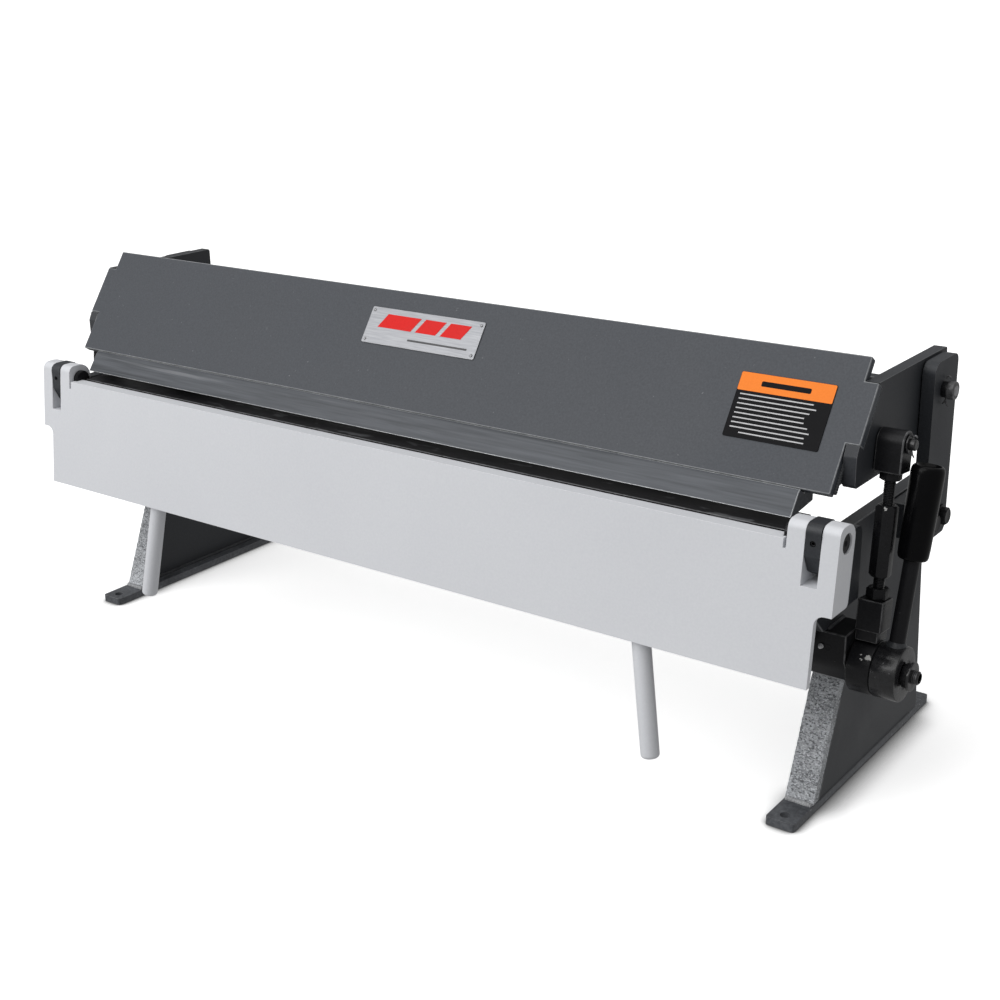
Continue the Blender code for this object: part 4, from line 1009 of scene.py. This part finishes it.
def add_grip(name, base, line, body):
    """The moulded grip: rounded foot, slight taper, and a dished head with a soft rim."""
    foot, head = 104.0, 188.0
    profile = [(foot, 8.0), (foot, 10.8), (foot + 0.4, 12.0), (foot + 1.5, 13.0),
               (foot + 3.6, 13.6), (foot + 10, 13.9), (foot + 40, 14.3), (head - 14, 14.75),
               (head - 7, 14.8), (head - 3.6, 14.5), (head - 1.3, 13.6), (head - 0.2, 12.2),
               (head, 11.0), (head - 0.5, 9.9), (head - 1.7, 8.9), (head - 2.2, 7.4),
               (head - 2.3, 4.0), (head - 2.3, 1.0)]
    turned(f"{name}_grip_fine", profile, base, line, body, GRIP, 72,
           stands_for=(f"{name}_grip",))


# ---------------------------------------------------------------- light, floor and camera

def add_staged(name, bm, material):
    """A mesh in metres that throws no light back on the object and rides on no body."""
    mesh = bpy.data.meshes.new(name)
    bm.to_mesh(mesh)
    bm.free()
    mesh.materials.append(material)
    made = bpy.data.objects.new(name, mesh)
    bpy.context.collection.objects.link(made)
    made.visible_diffuse = False
    made.visible_glossy = False
    return made


def add_stage():
    """A wide, pale, glowing floor; its own material paints a contact shadow on it close to the feet.
    """
    paint = surface("floor_pale_painted_contact_shadow", (0.90, 0.90, 0.90), (0.93, 0.93, 0.93), (0.75, 0.85),
                    grain=200.0, cloud=1.5)
    tree = paint.node_tree
    glow = tree.nodes["Principled BSDF"].inputs
    glow["Emission Color"].default_value = (1.0, 1.0, 1.0, 1.0)
    # Ambient occlusion dims the glow near the feet: a painted contact shadow.
    near = add_node(tree, "ShaderNodeAmbientOcclusion", {"Distance": 0.035}, samples=16)
    tree.links.new(remap(tree, near.outputs["AO"], 0.45, 0.97, 0.0, 0.58),
                   glow["Emission Strength"])
    # Near the feet the colour also runs to black: the same painted contact shadow.
    pale = glow["Base Color"].links[0].from_socket
    tree.links.new(mixed(tree, remap(tree, near.outputs["AO"], 0.45, 0.95), (0.03, 0.03, 0.03),
                         pale), glow["Base Color"])
    bm = bmesh.new()
    bmesh.ops.create_grid(bm, x_segments=2, y_segments=2, size=60.0)
    add_staged("floor", bm, paint).location = (0.0, 0.0, -0.0004)
    add_backdrop()


def add_backdrop():
    """A white dome that only the camera sees, so that the light stays as it is."""
    made, _, shader = new_graph("backdrop_white")
    shader.inputs["Base Color"].default_value = (0.0, 0.0, 0.0, 1.0)
    shader.inputs["Specular IOR Level"].default_value = 0.0
    shader.inputs["Emission Color"].default_value = (1.0, 1.0, 1.0, 1.0)
    shader.inputs["Emission Strength"].default_value = 1.0
    bm = bmesh.new()
    bmesh.ops.create_icosphere(bm, subdivisions=4, radius=48.0)
    add_staged("backdrop", bm, made).visible_shadow = False


def add_softbox(name, place, target, size, power):
    """A large rectangular area light pointed at a target."""
    data = bpy.data.lights.new(name, "AREA")
    data.shape = "RECTANGLE"
    data.size, data.size_y = size
    data.energy = power
    light = bpy.data.objects.new(name, data)
    light.location = place
    light.rotation_mode = "QUATERNION"
    light.rotation_quaternion = (Vector(target) - Vector(place)).to_track_quat("-Z", "Y")
    bpy.context.collection.objects.link(light)
    return light


def add_sun(towards, strength):
    """A very wide, soft sun that lights the whole floor evenly."""
    data = bpy.data.lights.new("sun", "SUN")
    data.energy = strength
    data.angle = math.radians(50.0)
    light = bpy.data.objects.new("sun", data)
    light.rotation_mode = "QUATERNION"
    light.rotation_quaternion = Vector(towards).to_track_quat("Z", "Y")
    bpy.context.collection.objects.link(light)


def add_lights():
    """A pale room, a soft key from the front left, a low fill, a top light, a strip and a sun."""
    world = bpy.data.worlds.new("studio")
    world.use_nodes = True
    background = world.node_tree.nodes["Background"]
    background.inputs["Color"].default_value = (1.0, 1.0, 1.0, 1.0)
    background.inputs["Strength"].default_value = 0.40
    bpy.context.scene.world = world
    add_softbox("key_softbox", (-1.6, -2.6, 1.9), (0.0, 0.0, 0.25), (2.6, 1.8), 17.0)
    add_softbox("low_strip", (-1.9, -2.4, 0.45), (0.3, 0.0, 0.2), (1.6, 0.4), 7.5)
    add_softbox("top_softbox", (0.3, 0.3, 2.8), (0.0, 0.0, 0.2), (3.2, 2.4), 14.0)
    add_softbox("glint_strip", (-1.2, -2.3, 1.55), (0.2, 0.0, 0.2), (1.3, 0.14), 4.0)
    add_sun((-0.36, -0.56, 0.75), 1.25)


def add_camera():
    """The viewpoint from the front right, a little above the object."""
    yaw, pitch, roll = (math.radians(a) for a in (CAMERA_YAW, CAMERA_PITCH, CAMERA_ROLL))
    forward = Vector((-math.sin(yaw) * math.cos(pitch), math.cos(yaw) * math.cos(pitch),
                      math.sin(pitch)))
    level = forward.cross(Vector((0, 0, 1))).normalized()
    upright = level.cross(forward).normalized()
    right = level * math.cos(roll) + upright * math.sin(roll)
    up = upright * math.cos(roll) - level * math.sin(roll)
    data = bpy.data.cameras.new("camera")
    data.sensor_width = 36.0
    data.lens = CAMERA_LENS
    data.clip_start, data.clip_end = 0.05, 60.0
    camera = bpy.data.objects.new("camera", data)
    placed = Matrix((right, up, -forward)).transposed().to_4x4()
    placed.translation = CAMERA_PLACE
    camera.matrix_world = placed
    bpy.context.collection.objects.link(camera)
    bpy.context.scene.camera = camera


def main():
    """Builds every piece, then the stage."""
    for name, side in SIDES:
        add_frame_side(name, side)
    add_bed()
    add_apron()
    add_beam()
    for name, side in SIDES:
        add_link(name, side)
        add_lever(name, side)
        for node, paint in (("pivot_bolt", BLACK), ("eccentric_shaft", BLACK_WEAR_AND_EDGE_HIGHLIGHT)):
            frame["nodes"][f"{name}_{node}"].material_slots[0].material = paint
    add_stage()
    add_lights()
    add_camera()
    bpy.context.scene.view_settings.view_transform = "Standard"


main()
